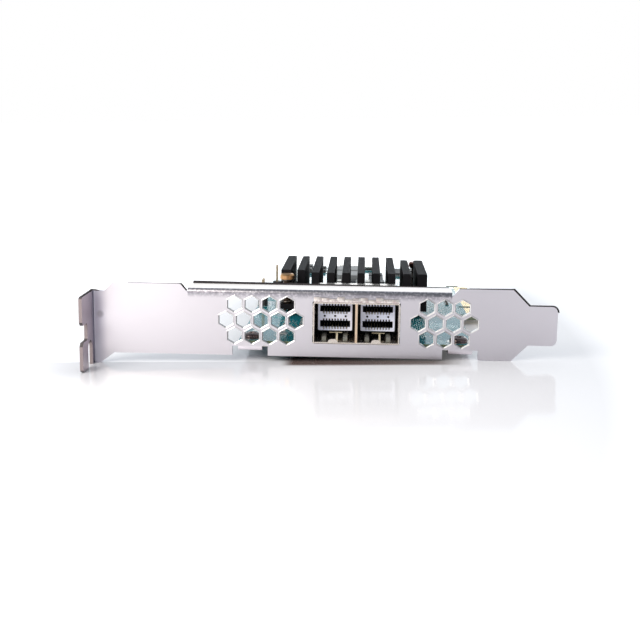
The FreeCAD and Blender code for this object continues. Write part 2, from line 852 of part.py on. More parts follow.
def push_pin(x, y):
    """A turned pin: split barb under the board, shank through board and base, head on the spring."""
    tip = board_low - push_pin_barb_height
    head_low = push_pin_head_top - push_pin_head_height
    edge = push_pin_head_bevel
    profile = [(0, tip), (push_pin_tip_radius, tip), (push_pin_barb_radius, board_low - push_pin_barb_land),
               (push_pin_barb_radius, board_low), (push_pin_shank, board_low), (push_pin_shank, head_low),
               (push_pin_head_radius, head_low), (push_pin_head_radius, push_pin_head_top - edge),
               (push_pin_head_radius - edge, push_pin_head_top), (0, push_pin_head_top)]
    reach = push_pin_barb_radius
    half = push_pin_split / 2
    split = box(x - half, x + half, y - reach, y + reach, tip, tip + push_pin_split_length)
    return turned(x, y, profile).cut(split)


def push_pin_spring(x, y):
    """The coil spring between the heat sink's base and the pin's head."""
    low = sink_base_top + spring_wire / 2 + spring_end_gap
    high = push_pin_head_top - push_pin_head_height - spring_wire / 2 - spring_end_gap
    radius = push_pin_shank + spring_gap + spring_wire / 2
    helix = Part.Wire(Part.makeHelix((high - low) / spring_turns, high - low, radius))
    turns = [2 * math.pi * side / spring_wire_sides for side in range(spring_wire_sides)]
    section = [(radius + spring_wire / 2 * math.cos(t), spring_wire / 2 * math.sin(t)) for t in turns]
    ring = rounded_face(sharp(section), in_front(0)).OuterWire
    coil = helix.makePipeShell([ring], True, True)
    coil.translate(vec(x, y, low))
    return coil


# Soldered parts
def moulded_body(x, y, size):
    """A chip's moulded body: straight below its parting line and drawn in above it."""
    width, depth, height = size
    low = board_high + body_standoff
    parting = low + height / 2
    half_x, half_y = width / 2, depth / 2
    lower = box(x - half_x, x + half_x, y - half_y, y + half_y, low, parting)
    rings = []
    for inset, level in ((0, parting), (body_draft, low + height)):
        corners = [(x - half_x + inset, y - half_y + inset), (x + half_x - inset, y - half_y + inset),
                   (x + half_x - inset, y + half_y - inset), (x - half_x + inset, y + half_y - inset)]
        rings.append(rounded_face(sharp(corners), in_plan(level)).OuterWire)
    return joined(lower, Part.makeLoft(rings, True, True))


def bent_leads(x, y, size, count, pitch, width, along_x):
    """Two rows of bent leads, out of the body's parting line and down to the board."""
    height = body_standoff + size[2] / 2 - lead_thickness
    knee = lead_shoulder + lead_slope
    path = [(0, height), (lead_shoulder, height), (knee, 0), (knee + lead_foot, 0)]
    section = sharp(path + [(run, rise + lead_thickness) for run, rise in reversed(path)])
    body_half = size[0 if along_x else 1] / 2
    leads = []
    for side in (-1, 1):
        for i in range(count):
            step = (i - (count - 1) / 2) * pitch - width / 2
            if along_x:
                face = rounded_face(section, lambda u, v: vec(x + side * (body_half + u), y + step,
                                                              board_high + v))
                leads.append(face.extrude(vec(0, width, 0)))
            else:
                face = rounded_face(section, lambda u, v: vec(x + step, y + side * (body_half + u),
                                                              board_high + v))
                leads.append(face.extrude(vec(width, 0, 0)))
    return leads


def two_ended(places, size, along_x, low):
    """Bodies and end caps of chip parts that lie along X or along Y at a level."""
    length, width, height, cap = size
    bodies, caps = [], []
    for x, y in places:
        for start, end, group in ((-length / 2, cap - length / 2, caps),
                                  (cap - length / 2, length / 2 - cap, bodies),
                                  (length / 2 - cap, length / 2, caps)):
            if along_x:
                block = box(x + start, x + end, y - width / 2, y + width / 2, low, low + height)
            else:
                block = box(x - width / 2, x + width / 2, y + start, y + end, low, low + height)
            group.append(block)
    return bodies, caps


def block_on_board(x, y, size):
    """A plain flat package that lies on the board."""
    width, depth, height = size
    return box(x - width / 2, x + width / 2, y - depth / 2, y + depth / 2, board_high, board_high + height)


def inductor(x, y):
    """A power inductor's pressed core, with its corners taken off."""
    width, depth, height = inductor_size
    half_x, half_y, cut = width / 2, depth / 2, inductor_corner
    corners = sharp([(x - half_x + cut, y - half_y), (x + half_x - cut, y - half_y),
                     (x + half_x, y - half_y + cut), (x + half_x, y + half_y - cut),
                     (x + half_x - cut, y + half_y), (x - half_x + cut, y + half_y),
                     (x - half_x, y + half_y - cut), (x - half_x, y - half_y + cut)])
    return rounded_face(corners, in_plan(board_high)).extrude(vec(0, 0, height))


def inductor_terminals(x, y):
    """The inductor's solder terminals, against its two ends."""
    half_x, half_y = inductor_size[0] / 2 - inductor_corner, inductor_size[1] / 2
    top = board_high + inductor_size[2] / 2
    return [box(x - half_x, x + half_x, y + half_y, y + half_y + inductor_terminal, board_high, top),
            box(x - half_x, x + half_x, y - half_y - inductor_terminal, y - half_y, board_high, top)]


def header_pin_at(x, y):
    """One square pin, from its tail under the board to its free end."""
    half = header_pin / 2
    return box(x - half, x + half, y - half, y + half, board_low - header_pin_tail, header_pin_top)


def header_housing(places):
    """The header's moulded strip: one block with its corners taken off for each pin."""
    top = board_high + header_height
    half_x, half_y = header_pitch / 2, header_pitch / 2
    blocks = []
    for x, y in places:
        cut = header_chamfer
        corners = sharp([(x - half_x + cut, y - half_y), (x + half_x - cut, y - half_y),
                         (x + half_x, y - half_y + cut), (x + half_x, y + half_y - cut),
                         (x + half_x - cut, y + half_y), (x - half_x + cut, y + half_y),
                         (x - half_x, y + half_y - cut), (x - half_x, y - half_y + cut)])
        blocks.append(rounded_face(corners, in_plan(board_high)).extrude(vec(0, 0, top - board_high)))
    return joined(*blocks).cut([header_pin_at(x, y) for x, y in places])


# Places of the soldered parts
def spread(start, pitch, count):
    """Evenly spaced places from a start."""
    return [start + i * pitch for i in range(count)]


def grid(xs, ys):
    """Every crossing of two sets of places."""
    return [(x, y) for y in ys for x in xs]


def from_back(edges):
    """Places measured forward from the board's back edge."""
    return [board_back - edge for edge in edges]


def write_chips():
    """Memory, boot and logic chips with their leads, oscillator and flat power packages."""
    leaded = (("memory", memory_edge, (memory_back_edge,), memory_body, memory_leads_a_side,
               memory_pitch, memory_lead_width, False),
              ("boot", boot_edge, boot_back_edges, boot_body, boot_leads_a_side,
               boot_pitch, boot_lead_width, True),
              ("logic", logic_edge, logic_back_edges, logic_body, logic_leads_a_side,
               logic_pitch, logic_lead_width, True))
    for name, edge, back_edges, size, count, pitch, width, along_x in leaded:
        x = board_far_edge - edge
        bodies = [moulded_body(x, y, size) for y in from_back(back_edges)]
        leads = [bent_leads(x, y, size, count, pitch, width, along_x) for y in from_back(back_edges)]
        write(name + "_chips", *bodies)
        write(name + "_leads", *sum(leads, []))
    x, y = board_near_edge + oscillator_edge, board_back - oscillator_back_edge
    width, depth, height = oscillator_size
    lid = (width - 2 * oscillator_lid_inset, depth - 2 * oscillator_lid_inset, oscillator_lid_height)
    cover = block_on_board(x, y, lid)
    cover.translate(vec(0, 0, height))
    write("oscillator_base", block_on_board(x, y, oscillator_size))
    write("oscillator_lid", cover)


def write_power_parts():
    """Inductors, regulators, power transistors and bulk capacitors."""
    x = board_near_edge + inductor_edge
    rows = from_back(inductor_back_edges)
    write("inductors", *[inductor(x, y) for y in rows])
    write("inductor_terminals", *sum([inductor_terminals(x, y) for y in rows], []))
    x = board_near_edge + regulator_edge
    write("regulators", *[block_on_board(x, y, regulator_size) for y in rows])
    write("power_transistors", *[block_on_board(x, y, transistor_size)
                                 for y in from_back(transistor_back_edges)])
    columns = spread(board_near_edge + bulk_edge, bulk_column_pitch, bulk_columns)
    places = grid(columns, [sink_back + gap for gap in bulk_back_of_sink])
    bodies, caps = two_ended(places, bulk_size, True, board_high)
    write("bulk_capacitors", *bodies)
    write("bulk_terminals", *caps)


def write_small_parts():
    """Ceramic and coupling capacitors, resistors, and capacitors on the solder side."""
    behind_sink = spread(sink_left + ceramic_margin, ceramic_pitch, ceramics_behind_sink)
    behind_cage = spread(cage_left + ceramic_margin, ceramic_pitch, ceramics_behind_cage)
    places = grid(behind_sink, [sink_back + ceramic_behind_sink])
    places += grid(behind_cage, [cage_back + ceramic_behind_cage])
    places += grid([cage_left - gap for gap in ceramic_beside_cage],
                   spread(ceramic_beside_start, ceramic_beside_pitch, ceramics_beside_cage))
    groups = [("ceramic", places, ceramic_size, False, board_high)]
    columns = spread(board_near_edge + resistor_start, resistor_pitch, resistor_columns)
    rows = spread(sink_back + resistor_behind_sink, resistor_row_pitch, resistor_rows)
    groups.append(("resistor", grid(columns, rows), resistor_size, False, board_high))
    rows = spread(key_end + coupling_start, coupling_pitch, coupling_count)
    places = grid([board_far_edge - coupling_setback], rows)
    groups.append(("coupling", places, coupling_size, True, board_high))
    left = sink_centre_x - (back_capacitor_columns - 1) / 2 * back_capacitor_pitch
    front = sink_centre_y - (back_capacitor_rows - 1) / 2 * back_capacitor_pitch
    places = grid(spread(left, back_capacitor_pitch, back_capacitor_columns),
                  spread(front, back_capacitor_pitch, back_capacitor_rows))
    groups.append(("solder_side", places, coupling_size, True, board_low - coupling_size[2]))
    for name, places, size, along_x, low in groups:
        bodies, caps = two_ended(places, size, along_x, low)
        write(name + "_bodies", *bodies)
        write(name + "_end_caps", *caps)


def write_ports():
    """The cage and everything in it."""
    write("port_cage", port_cage())
    write("cage_divider", cage_divider())
    write("cage_floor", cage_floor())
    write("earthing_fingers", *earthing_fingers())
    write("earthing_leaves", *earthing_leaves())
    for side, x in zip(("left", "right"), port_centres):
        write("receptacle_housing_" + side, receptacle_housing(x))
        write("receptacle_contacts_" + side, *receptacle_contacts(x))
    write("light_guides", *light_guides())
    write("port_lamps", *port_lamps())


def write_cooling():
    """The controller, its pad, the heat sink and what holds it down."""
    x, y = sink_centre_x, sink_centre_y
    write("controller_substrate", centred_block(x, y, package_size, board_high, package_substrate))
    write("controller_cap", controller_cap())
    write("thermal_pad", centred_block(x, y, pad_size, package_top, pad_thickness))
    write("heat_sink", heat_sink())
    write("push_pins", *[push_pin(*place) for place in push_pin_places])
    write("push_pin_springs", *[push_pin_spring(*place) for place in push_pin_places])


def main():
    """Builds every piece of the card and writes one file for each node."""
    os.makedirs("parts", exist_ok=True)
    jumper_places = grid(spread(board_near_edge + jumper_edge, header_pitch, jumper_pins),
                         [sink_back + jumper_back_of_sink])
    enable_places = grid([board_near_edge + enable_edge],
                         spread(sink_front + enable_behind_sink_front, header_pitch, enable_pins))
    header_places = jumper_places + enable_places
    write("bracket", bracket())
    write("bracket_screws", *bracket_screws())
    write("board", board(header_places))
    write("edge_contacts", *edge_contacts())
    write("jumper_header", header_housing(jumper_places), header_housing(enable_places))
    write("jumper_pins", *[header_pin_at(*place) for place in header_places])
    lamps = spread(board_near_edge + status_lamp_edge, status_lamp_pitch, status_lamp_count)
    write("status_lamps", *[block_on_board(x, board_back - status_lamp_back_edge, status_lamp_size)
                            for x in lamps])
    write_ports()
    write_cooling()
    write_chips()
    write_power_parts()
    write_small_parts()


main()
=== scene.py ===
"""Looks of the host bus adapter: finishes, fine pieces, floor, studio light and camera."""
import logging
import math
from collections.abc import Sequence
from dataclasses import dataclass
from enum import Enum
from functools import partial, reduce

import bmesh
import bpy
import numpy as np
from mathutils import Matrix, Vector


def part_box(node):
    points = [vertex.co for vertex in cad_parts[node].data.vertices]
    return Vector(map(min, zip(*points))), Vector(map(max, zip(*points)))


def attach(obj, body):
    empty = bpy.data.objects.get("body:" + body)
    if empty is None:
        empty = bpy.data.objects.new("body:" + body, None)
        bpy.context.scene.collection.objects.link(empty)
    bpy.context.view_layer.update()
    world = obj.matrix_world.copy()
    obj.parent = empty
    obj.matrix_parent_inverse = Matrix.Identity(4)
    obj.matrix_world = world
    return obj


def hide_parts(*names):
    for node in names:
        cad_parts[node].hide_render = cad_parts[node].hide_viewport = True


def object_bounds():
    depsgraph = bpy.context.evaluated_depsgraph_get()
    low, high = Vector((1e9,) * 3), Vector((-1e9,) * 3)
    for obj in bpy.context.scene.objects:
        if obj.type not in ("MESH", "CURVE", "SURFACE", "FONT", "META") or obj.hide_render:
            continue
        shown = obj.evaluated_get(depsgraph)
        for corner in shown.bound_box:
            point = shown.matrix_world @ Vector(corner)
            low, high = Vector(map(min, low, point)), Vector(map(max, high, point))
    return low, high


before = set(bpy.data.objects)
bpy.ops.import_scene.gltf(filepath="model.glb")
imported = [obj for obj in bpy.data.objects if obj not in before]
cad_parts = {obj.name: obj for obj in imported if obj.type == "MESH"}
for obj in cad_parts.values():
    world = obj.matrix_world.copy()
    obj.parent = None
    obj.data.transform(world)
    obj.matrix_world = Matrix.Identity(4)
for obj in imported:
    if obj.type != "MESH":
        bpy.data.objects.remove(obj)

Array = np.ndarray
Pair = tuple[float, float]
Triple = tuple[float, float, float]
Socket = bpy.types.NodeSocket

MM = 0.001
MICRON = 1e-6
BODY = "root"
SAME_POINT = 1e-8
SAME_SPOT = 1e-6
HAIR = 1e-6
FULL_TURN = 2 * math.pi
UP = (0.0, 0.0, 1.0)
UP_AND_RIGHT = (math.sqrt(0.5), 0.0, math.sqrt(0.5))
CAD_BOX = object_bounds()
LOG = logging.getLogger("host_bus_adapter")


def node_box(node: str) -> tuple[Array, Array]:
    """Gives a CAD node's lowest and highest corner as arrays, in metres."""
    low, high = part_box(node)
    return np.array(low), np.array(high)


def new_object(name: str, data: bpy.types.ID) -> bpy.types.Object:
    """Puts a new object into the scene.

    Args:
        name: Its name.
        data: What it shows.

    Returns:
        The object.
    """
    item = bpy.data.objects.new(name, data)
    bpy.context.scene.collection.objects.link(item)
    return item


# Node trees
class Graph:
    """Adds nodes to one node tree and links them."""

    def __init__(self, tree: bpy.types.NodeTree) -> None:
        """Keeps the tree that nodes go into."""
        self.tree = tree

    def feed(self, inputs: bpy.types.NodeInputs, values: dict) -> None:
        """Fills a node's inputs.

        Args:
            inputs: The inputs.
            values: Constants or other nodes' sockets, by the inputs' names or numbers.
        """
        for key, value in values.items():
            if isinstance(value, Socket):
                self.tree.links.new(value, inputs[key])
            else:
                inputs[key].default_value = value

    def add(self, kind: str, values: dict | None = None, **settings: object) -> bpy.types.Node:
        """Adds one node.

        Args:
            kind: The node's type, without the word that all shader nodes start with.
            values: What fills its inputs, as feed takes it.
            settings: The node's own properties.

        Returns:
            The new node.
        """
        node = self.tree.nodes.new("ShaderNode" + kind)
        for key, value in settings.items():
            setattr(node, key, value)
        self.feed(node.inputs, values or {})
        return node

    def math(self, operation: str, *operands: Socket | float) -> Socket:
        """Gives the result of one arithmetic step."""
        return self.add("Math", dict(enumerate(operands)), operation=operation).outputs[0]

    def times(self, *factors: Socket | float) -> Socket:
        """Gives the product of several values."""
        return reduce(partial(self.math, "MULTIPLY"), factors)

    def length(self, first: Socket, second: Socket) -> Socket:
        """Gives the distance that two lengths square to each other span."""
        return self.math("SQRT", self.math("MULTIPLY_ADD", first, first, self.times(second, second)))

    def step(self, value: Socket, start: Socket | float, end: Socket | float) -> Socket:
        """Gives a mask that rises smoothly from 0 to 1 as a value goes from start to end."""
        values = {"Value": value, "From Min": start, "From Max": end}
        return self.add("MapRange", values, interpolation_type="SMOOTHSTEP").outputs[0]

    def spread(self, value: Socket, low: float, high: float) -> Socket:
        """Gives a value of 0 to 1 stretched over another range."""
        return self.add("MapRange", {"Value": value, "To Min": low, "To Max": high}).outputs[0]

    def blend(self, mask: Socket, first: Socket | Triple, second: Socket | Triple) -> Socket:
        """Gives a colour that goes from the first to the second as the mask goes from 0 to 1."""
        ends = [end if isinstance(end, Socket) else (*end, 1.0) for end in (first, second)]
        return self.add("Mix", {0: mask, 6: ends[0], 7: ends[1]}, data_type="RGBA").outputs[2]

    def axes(self, source: str) -> list[Socket]:
        """Gives the X, Y and Z of one of a point's coordinates."""
        return list(self.add("SeparateXYZ", {0: self.add("TexCoord").outputs[source]}).outputs)

    def place(self) -> list[Socket]:
        """Gives a point's own X, Y and Z in metres, in the card's frame."""
        return self.axes("Object")

    def effect(self, kind: "Effect", **values: Socket | float | Triple) -> dict[str, Socket]:
        """Places a shared effect in this tree.

        Args:
            kind: Which effect.
            values: Its inputs by name.

        Returns:
            Its outputs by name.
        """
        inputs = {key.capitalize(): value for key, value in values.items()}
        node = self.add("Group", inputs, node_tree=effect_tree(kind))
        return {socket.name: socket for socket in node.outputs}


class Effect(Enum):
    """Effects that several finishes share; each is one node group."""

    GRAIN = "surface_grain"
    PATCHES = "soft_patches"
    SPECKS = "fine_specks"
    TRACES = "buried_traces"


EFFECT_SOCKETS = {
    Effect.GRAIN: (("Stretch", "Detail"), ("Value",)),
    Effect.PATCHES: (("Scale", "Low", "High"), ("Mask",)),
    Effect.SPECKS: (("Scale", "Size"), ("Mask",)),
    Effect.TRACES: (("Scale", "Pitch", "Width"), ("Mask", "Vias")),
}
VECTOR_SOCKETS = ("Stretch",)
NOISE_DETAIL = 2.0
PATCH_DETAIL = 3.0
PATCH_LEVELS = (0.35, 0.7)
MOTTLE_LEVELS = (0.2, 0.6)
# Levels and shares behind the buried traces and their vias
TRACES_TURNED = 0.5
TRACES_BARE = 0.45
TRACES_REACH = 0.62
VIA_DENSITY = 2.3
VIA_SIZE = 0.09


def effect_tree(kind: Effect) -> bpy.types.NodeTree:
    """Gives an effect's node group, and builds it the first time.

    Grain is stretched noise. Patches are large soft noise between two levels. Specks are the middles of
    random cells. Traces are stripes along X or Y, in square patches that each choose one way or none, and
    vias are the middles of small cells.

    Args:
        kind: Which effect.

    Returns:
        The node group.
    """
    if kind.value in bpy.data.node_groups:
        return bpy.data.node_groups[kind.value]
    tree = bpy.data.node_groups.new(kind.value, "ShaderNodeTree")
    for names, direction in zip(EFFECT_SOCKETS[kind], ("INPUT", "OUTPUT")):
        for name in names:
            socket_type = "NodeSocketVector" if name in VECTOR_SOCKETS else "NodeSocketFloat"
            tree.interface.new_socket(name, in_out=direction, socket_type=socket_type)
    graph = Graph(tree)
    source = tree.nodes.new("NodeGroupInput").outputs
    point = graph.add("TexCoord").outputs["Object"]
    if kind is Effect.GRAIN:
        place = graph.add("VectorMath", {0: point, 1: source["Stretch"]}, operation="MULTIPLY").outputs[0]
        noise = graph.add("TexNoise", {"Vector": place, "Scale": 1.0, "Detail": source["Detail"]})
        results = [noise.outputs["Fac"]]
    elif kind is Effect.PATCHES:
        noise = graph.add("TexNoise", {"Vector": point, "Scale": source["Scale"], "Detail": PATCH_DETAIL})
        results = [graph.step(noise.outputs["Fac"], source["Low"], source["High"])]
    elif kind is Effect.SPECKS:
        cells = graph.add("TexVoronoi", {"Vector": point, "Scale": source["Scale"]})
        results = [graph.math("LESS_THAN", cells.outputs["Distance"], source["Size"])]
    else:
        patch = graph.add("TexVoronoi", {"Vector": point, "Scale": source["Scale"]}, distance="CHEBYCHEV",
                          voronoi_dimensions="2D").outputs
        choice = graph.add("SeparateXYZ", {0: patch["Color"]}).outputs
        x, y, _ = graph.place()
        turned_x = graph.math("GREATER_THAN", choice[0], TRACES_TURNED)
        turned_y = graph.math("SUBTRACT", 1.0, turned_x)
        along = graph.math("ADD", graph.times(turned_x, x), graph.times(turned_y, y))
        line = graph.math("FRACT", graph.math("DIVIDE", along, source["Pitch"]))
        striped = graph.math("LESS_THAN", line, source["Width"])
        used = graph.math("GREATER_THAN", choice[1], TRACES_BARE)
        inside = graph.math("LESS_THAN", patch["Distance"], TRACES_REACH)
        density = graph.times(source["Scale"], VIA_DENSITY)
        cells = graph.add("TexVoronoi", {"Vector": point, "Scale": density}, voronoi_dimensions="2D")
        vias = graph.math("LESS_THAN", cells.outputs["Distance"], VIA_SIZE)
        results = [graph.times(striped, used, inside), vias]
    out = tree.nodes.new("NodeGroupOutput")
    graph.feed(out.inputs, dict(enumerate(results)))
    return tree


# Finishes
class Axis(Enum):
    """What a ramp runs along: a point's place in metres, or the way that its surface faces."""

    X = ("Object", 0)
    Y = ("Object", 1)
    Z = ("Object", 2)
    RIGHT = ("Normal", 0)
    BACK = ("Normal", 1)
    UP = ("Normal", 2)


@dataclass(frozen=True)
class Ramp:
    """A mask that goes smoothly from 0 at its start to 1 at its end, along one axis."""

    axis: Axis
    start: float
    end: float

    def mask(self, graph: Graph) -> Socket:
        """Gives the mask in a node tree."""
        source, number = self.axis.value
        return graph.step(graph.axes(source)[number], self.start, self.end)


Ramps = tuple[Ramp, ...]


def above(axis: Axis, limit: float) -> Ramp:
    """Gives a ramp as thin as a hair, full above a limit."""
    return Ramp(axis, limit - HAIR, limit + HAIR)


def below(axis: Axis, limit: float) -> Ramp:
    """Gives a ramp as thin as a hair, full below a limit."""
    return Ramp(axis, limit + HAIR, limit - HAIR)


def away_from(axis: Axis, start: float, end: float) -> Ramps:
    """Gives the ramps of a surface that turns away from both ends of an axis."""
    return Ramp(axis, start, end), Ramp(axis, -start, -end)


def cover(graph: Graph, ramps: Ramps) -> Socket:
    """Gives the mask that several ramps make together, full where all of them are full."""
    return graph.times(*(ramp.mask(graph) for ramp in ramps))


def patches(graph: Graph, size: float, levels: Pair) -> Socket:
    """Gives the mask of soft patches of a size in millimetres, between two levels of noise."""
    return graph.effect(Effect.PATCHES, scale=1 / (size * MM), low=levels[0], high=levels[1])["Mask"]


@dataclass(frozen=True)
class Layer:
    """A colour that covers a finish where all of its ramps are full.

    Attributes:
        name: What it covers.
        color: Its colour.
        ramps: Its ramps.
        mottle: Size of the patches that it is broken into, in millimetres, or 0 where it is whole.
    """

    name: str
    color: Triple
    ramps: Ramps
    mottle: float = 0.0

    def over(self, graph: Graph, color: Socket) -> Socket:
        """Lays the layer over a colour.

        Args:
            graph: The graph of the finish's material.
            color: The colour below.

        Returns:
            The colour with the layer over it.
        """
        mask = cover(graph, self.ramps)
        if self.mottle:
            mask = graph.times(mask, patches(graph, self.mottle, MOTTLE_LEVELS))
        covered = graph.blend(mask, color, self.color)
        covered.node.label = self.name
        return covered


@dataclass(frozen=True)
class Finish:
    """A finish with fine grain, soft patches and a slight relief.

    Attributes:
        slot: The record's material slot.
        color: The main colour.
        patch: The colour that soft patches drift towards.
        roughness: Middle roughness.
        uneven: How far the roughness strays with the grain.
        metallic: 1 for bare metal.
        grain: Size of the grain along X, Y and Z, in millimetres.
        patch_size: Size of the soft patches, in millimetres.
        relief: Depth of the grain, in microns.
        coat: Weight of a clear gloss coat.
        clear: Weight of light passing through.
        specular: Strength of the plain gloss.
        label: The finish's own name, where a slot has several.
        layers: Colours over parts of it, from below upwards.
    """

    slot: str
    color: Triple
    patch: Triple
    roughness: float
    uneven: float = 0.08
    metallic: float = 0.0
    grain: Triple = (0.15, 0.15, 0.15)
    patch_size: float = 6.0
    relief: float = 4.0
    coat: float = 0.0
    clear: float = 0.0
    specular: float = 0.5
    label: str = ""
    layers: tuple[Layer, ...] = ()

    def base_color(self, graph: Graph) -> Socket:
        """Gives the colour over the surface: the main colour, drifting to the patch colour, and layers."""
        plain = graph.blend(patches(graph, self.patch_size, PATCH_LEVELS), self.color, self.patch)
        return reduce(lambda color, layer: layer.over(graph, color), self.layers, plain)

    def roughness_over(self, graph: Graph, grain: Socket) -> Socket:
        """Gives the roughness over the surface."""
        return graph.spread(grain, self.roughness - self.uneven, self.roughness + self.uneven)

    def metal_over(self, graph: Graph) -> Socket | float:
        """Gives how far the surface is bare metal."""
        return self.metallic

    def height(self, graph: Graph, grain: Socket) -> Socket:
        """Gives the height of the relief, in steps of the grain's depth."""
        return grain

    def material(self) -> bpy.types.Material:
        """Gives the finish's material, and builds it the first time.

        Returns:
            The material.
        """
        name = "finish_" + (self.label or self.slot)
        if name in bpy.data.materials:
            return bpy.data.materials[name]
        material = bpy.data.materials.new(name)
        material.use_nodes = True
        graph = Graph(material.node_tree)
        stretch = tuple(1 / (size * MM) for size in self.grain)
        grain = graph.effect(Effect.GRAIN, stretch=stretch, detail=NOISE_DETAIL)["Value"]
        bump = graph.add("Bump", {"Strength": 1.0, "Distance": self.relief * MICRON,
                                  "Height": self.height(graph, grain)})
        graph.feed(material.node_tree.nodes["Principled BSDF"].inputs, {
            "Base Color": self.base_color(graph), "Roughness": self.roughness_over(graph, grain),
            "Normal": bump.outputs[0], "Metallic": self.metal_over(graph), "Coat Weight": self.coat,
            "Transmission Weight": self.clear, "Specular IOR Level": self.specular})
        return material

    def dress(self, *nodes: str) -> None:
        """Puts the finish on CAD nodes.

        Args:
            nodes: The nodes' names.
        """
        for node in nodes:
            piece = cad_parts[node]
            piece.data.materials.clear()
            piece.data.materials.append(self.material())
            LOG.info("%s is finished in %s", node, self.slot)


@dataclass(frozen=True)
class PlatedSheet(Finish):
    """Bright plated sheet with dull sheared edges, a painted flange highlight and painted shade in a punch
    mark.

    Attributes:
        sheared: Ramps that are full on the sheared edges.
        flange: Ramps that are full on the flange's upper face.
        dull: How much rougher a sheared edge is.
        flange_highlight: How far the flange's upper face loses its metal, which paints a pale highlight
            there.
        punch: Where the mark is along X and Z, in metres.
        punch_reach: Where its painted shade is full and where it ends, from its middle, in metres.
        punch_shade: The colour of the painted shade in the punch mark.
    """

    sheared: Ramps = ()
    flange: Ramps = ()
    dull: float = 0.3
    flange_highlight: float = 0.75
    punch: Pair = (0.0, 0.0)
    punch_reach: Pair = (0.0004, 0.0013)
    punch_shade: Triple = (0.38, 0.36, 0.41)

    def base_color(self, graph: Graph) -> Socket:
        """Gives the sheet's colour with the punch mark's painted shade, a round spot that fades out.

        Args:
            graph: The material's graph.

        Returns:
            The colour.
        """
        x, _, z = graph.place()
        across, rise = (graph.math("SUBTRACT", axis, middle) for axis, middle in zip((x, z), self.punch))
        away = graph.step(graph.length(across, rise), *self.punch_reach)
        return graph.blend(away, self.punch_shade, super().base_color(graph))

    def metal_over(self, graph: Graph) -> Socket:
        """Gives bare metal except on the sheared edges and on the flange, where less metal paints a pale
        highlight.
        """
        painted_highlight = graph.times(cover(graph, self.flange), self.flange_highlight)
        return graph.math("SUBTRACT", 1.0, graph.math("MAXIMUM", cover(graph, self.sheared), painted_highlight))

    def roughness_over(self, graph: Graph, grain: Socket) -> Socket:
        """Gives the sheet's roughness, raised on the sheared edges."""
        plain = super().roughness_over(graph, grain)
        return graph.math("MULTIPLY_ADD", cover(graph, self.sheared), self.dull, plain)


@dataclass(frozen=True)
class SolderMask(Finish):
    """Glossy mask over copper traces, with bare laminate at the board's edges.

    Attributes:
        trace: The mask's colour over copper.
        via: The colour of a plugged via.
        laminate: The colour of the cut edge.
        patch_span: Size of the patches of traces, in millimetres.
        trace_pitch: Distance between traces, in millimetres.
        trace_width: Width of a trace as a share of that distance.
        cut: Ramps that are full on the cut edge.
        grain_share: How far the grain stands up beside a trace.
    """

    trace: Triple = (0.016, 0.2, 0.235)
    via: Triple = (0.01, 0.085, 0.09)
    laminate: Triple = (0.13, 0.16, 0.1)
    patch_span: float = 7.5
    trace_pitch: float = 0.55
    trace_width: float = 0.4
    cut: Ramps = away_from(Axis.UP, 0.5, 0.3)
    grain_share: float = 0.1

    def copper(self, graph: Graph) -> dict[str, Socket]:
        """Gives the masks of the traces and the vias."""
        return graph.effect(Effect.TRACES, scale=1 / (self.patch_span * MM), pitch=self.trace_pitch * MM,
                            width=self.trace_width)

    def base_color(self, graph: Graph) -> Socket:
        """Gives mask, paler traces and darker vias on the faces, and laminate at the edges.

        Args:
            graph: The material's graph.

        Returns:
            The colour.
        """
        copper = self.copper(graph)
        color = graph.blend(copper["Mask"], super().base_color(graph), self.trace)
        color = graph.blend(copper["Vias"], color, self.via)
        return graph.blend(cover(graph, self.cut), color, self.laminate)

    def height(self, graph: Graph, grain: Socket) -> Socket:
        """Gives the relief: traces stand up under the mask, and vias sink."""
        traces, vias = self.copper(graph).values()
        return graph.math("MULTIPLY_ADD", grain, self.grain_share, graph.math("SUBTRACT", traces, vias))


@dataclass(frozen=True)
class Speckled(Finish):
    """A pressed or fired body with fine specks.

    Attributes:
        speck: The specks' colour.
        speck_pitch: Distance between specks, in millimetres.
        speck_size: Size of a speck as a share of that distance.
    """

    speck: Triple = (0.3, 0.3, 0.3)
    speck_pitch: float = 0.25
    speck_size: float = 0.22

    def base_color(self, graph: Graph) -> Socket:
        """Gives the body's colour with specks."""
        specks = graph.effect(Effect.SPECKS, scale=1 / (self.speck_pitch * MM), size=self.speck_size)
        return graph.blend(specks["Mask"], super().base_color(graph), self.speck)


# Painted shade: dark, dull strips along sheared edges, partly the edges' own colour.
SHEARED_EDGE_SHADE = Finish("plated_steel", (0.03, 0.027, 0.03), (0.05, 0.045, 0.05), 0.8, specular=0.05,
                      label="sheared_edge_shade")
RIGHTWARD = Ramp(Axis.RIGHT, 0.4, 0.6)
# Painted highlight and shade: rims paler than the plating, darker on walls facing right, darkest facing up
# too.
LIT_PUNCHED_RIM = Finish("plated_steel", (0.96, 0.94, 0.95), (0.9, 0.88, 0.9), 0.4, 0.05, 1.0,
                     label="lit_punched_rim", layers=(
                         Layer("shaded_right_wall", (0.42, 0.41, 0.43), (RIGHTWARD,)),
                         Layer("deep_shaded_wall", (0.012, 0.011, 0.013),
                               (RIGHTWARD, Ramp(Axis.UP, 0.25, 0.45)))))
SCREW_STEEL = Finish("screw_steel", (0.2, 0.155, 0.15), (0.12, 0.09, 0.088), 0.24, 0.06, 1.0)
GOLD = Finish("gold", (0.92, 0.68, 0.3), (0.83, 0.6, 0.27), 0.24, 0.06, 1.0, (0.9, 0.06, 0.06), 3.0, 1.5)
CAGE_METAL = Finish("cage_metal", (0.84, 0.77, 0.7), (0.77, 0.69, 0.62), 0.27, 0.07, 1.0,
                    (0.1, 2.0, 0.1), 5.0, 2.0)
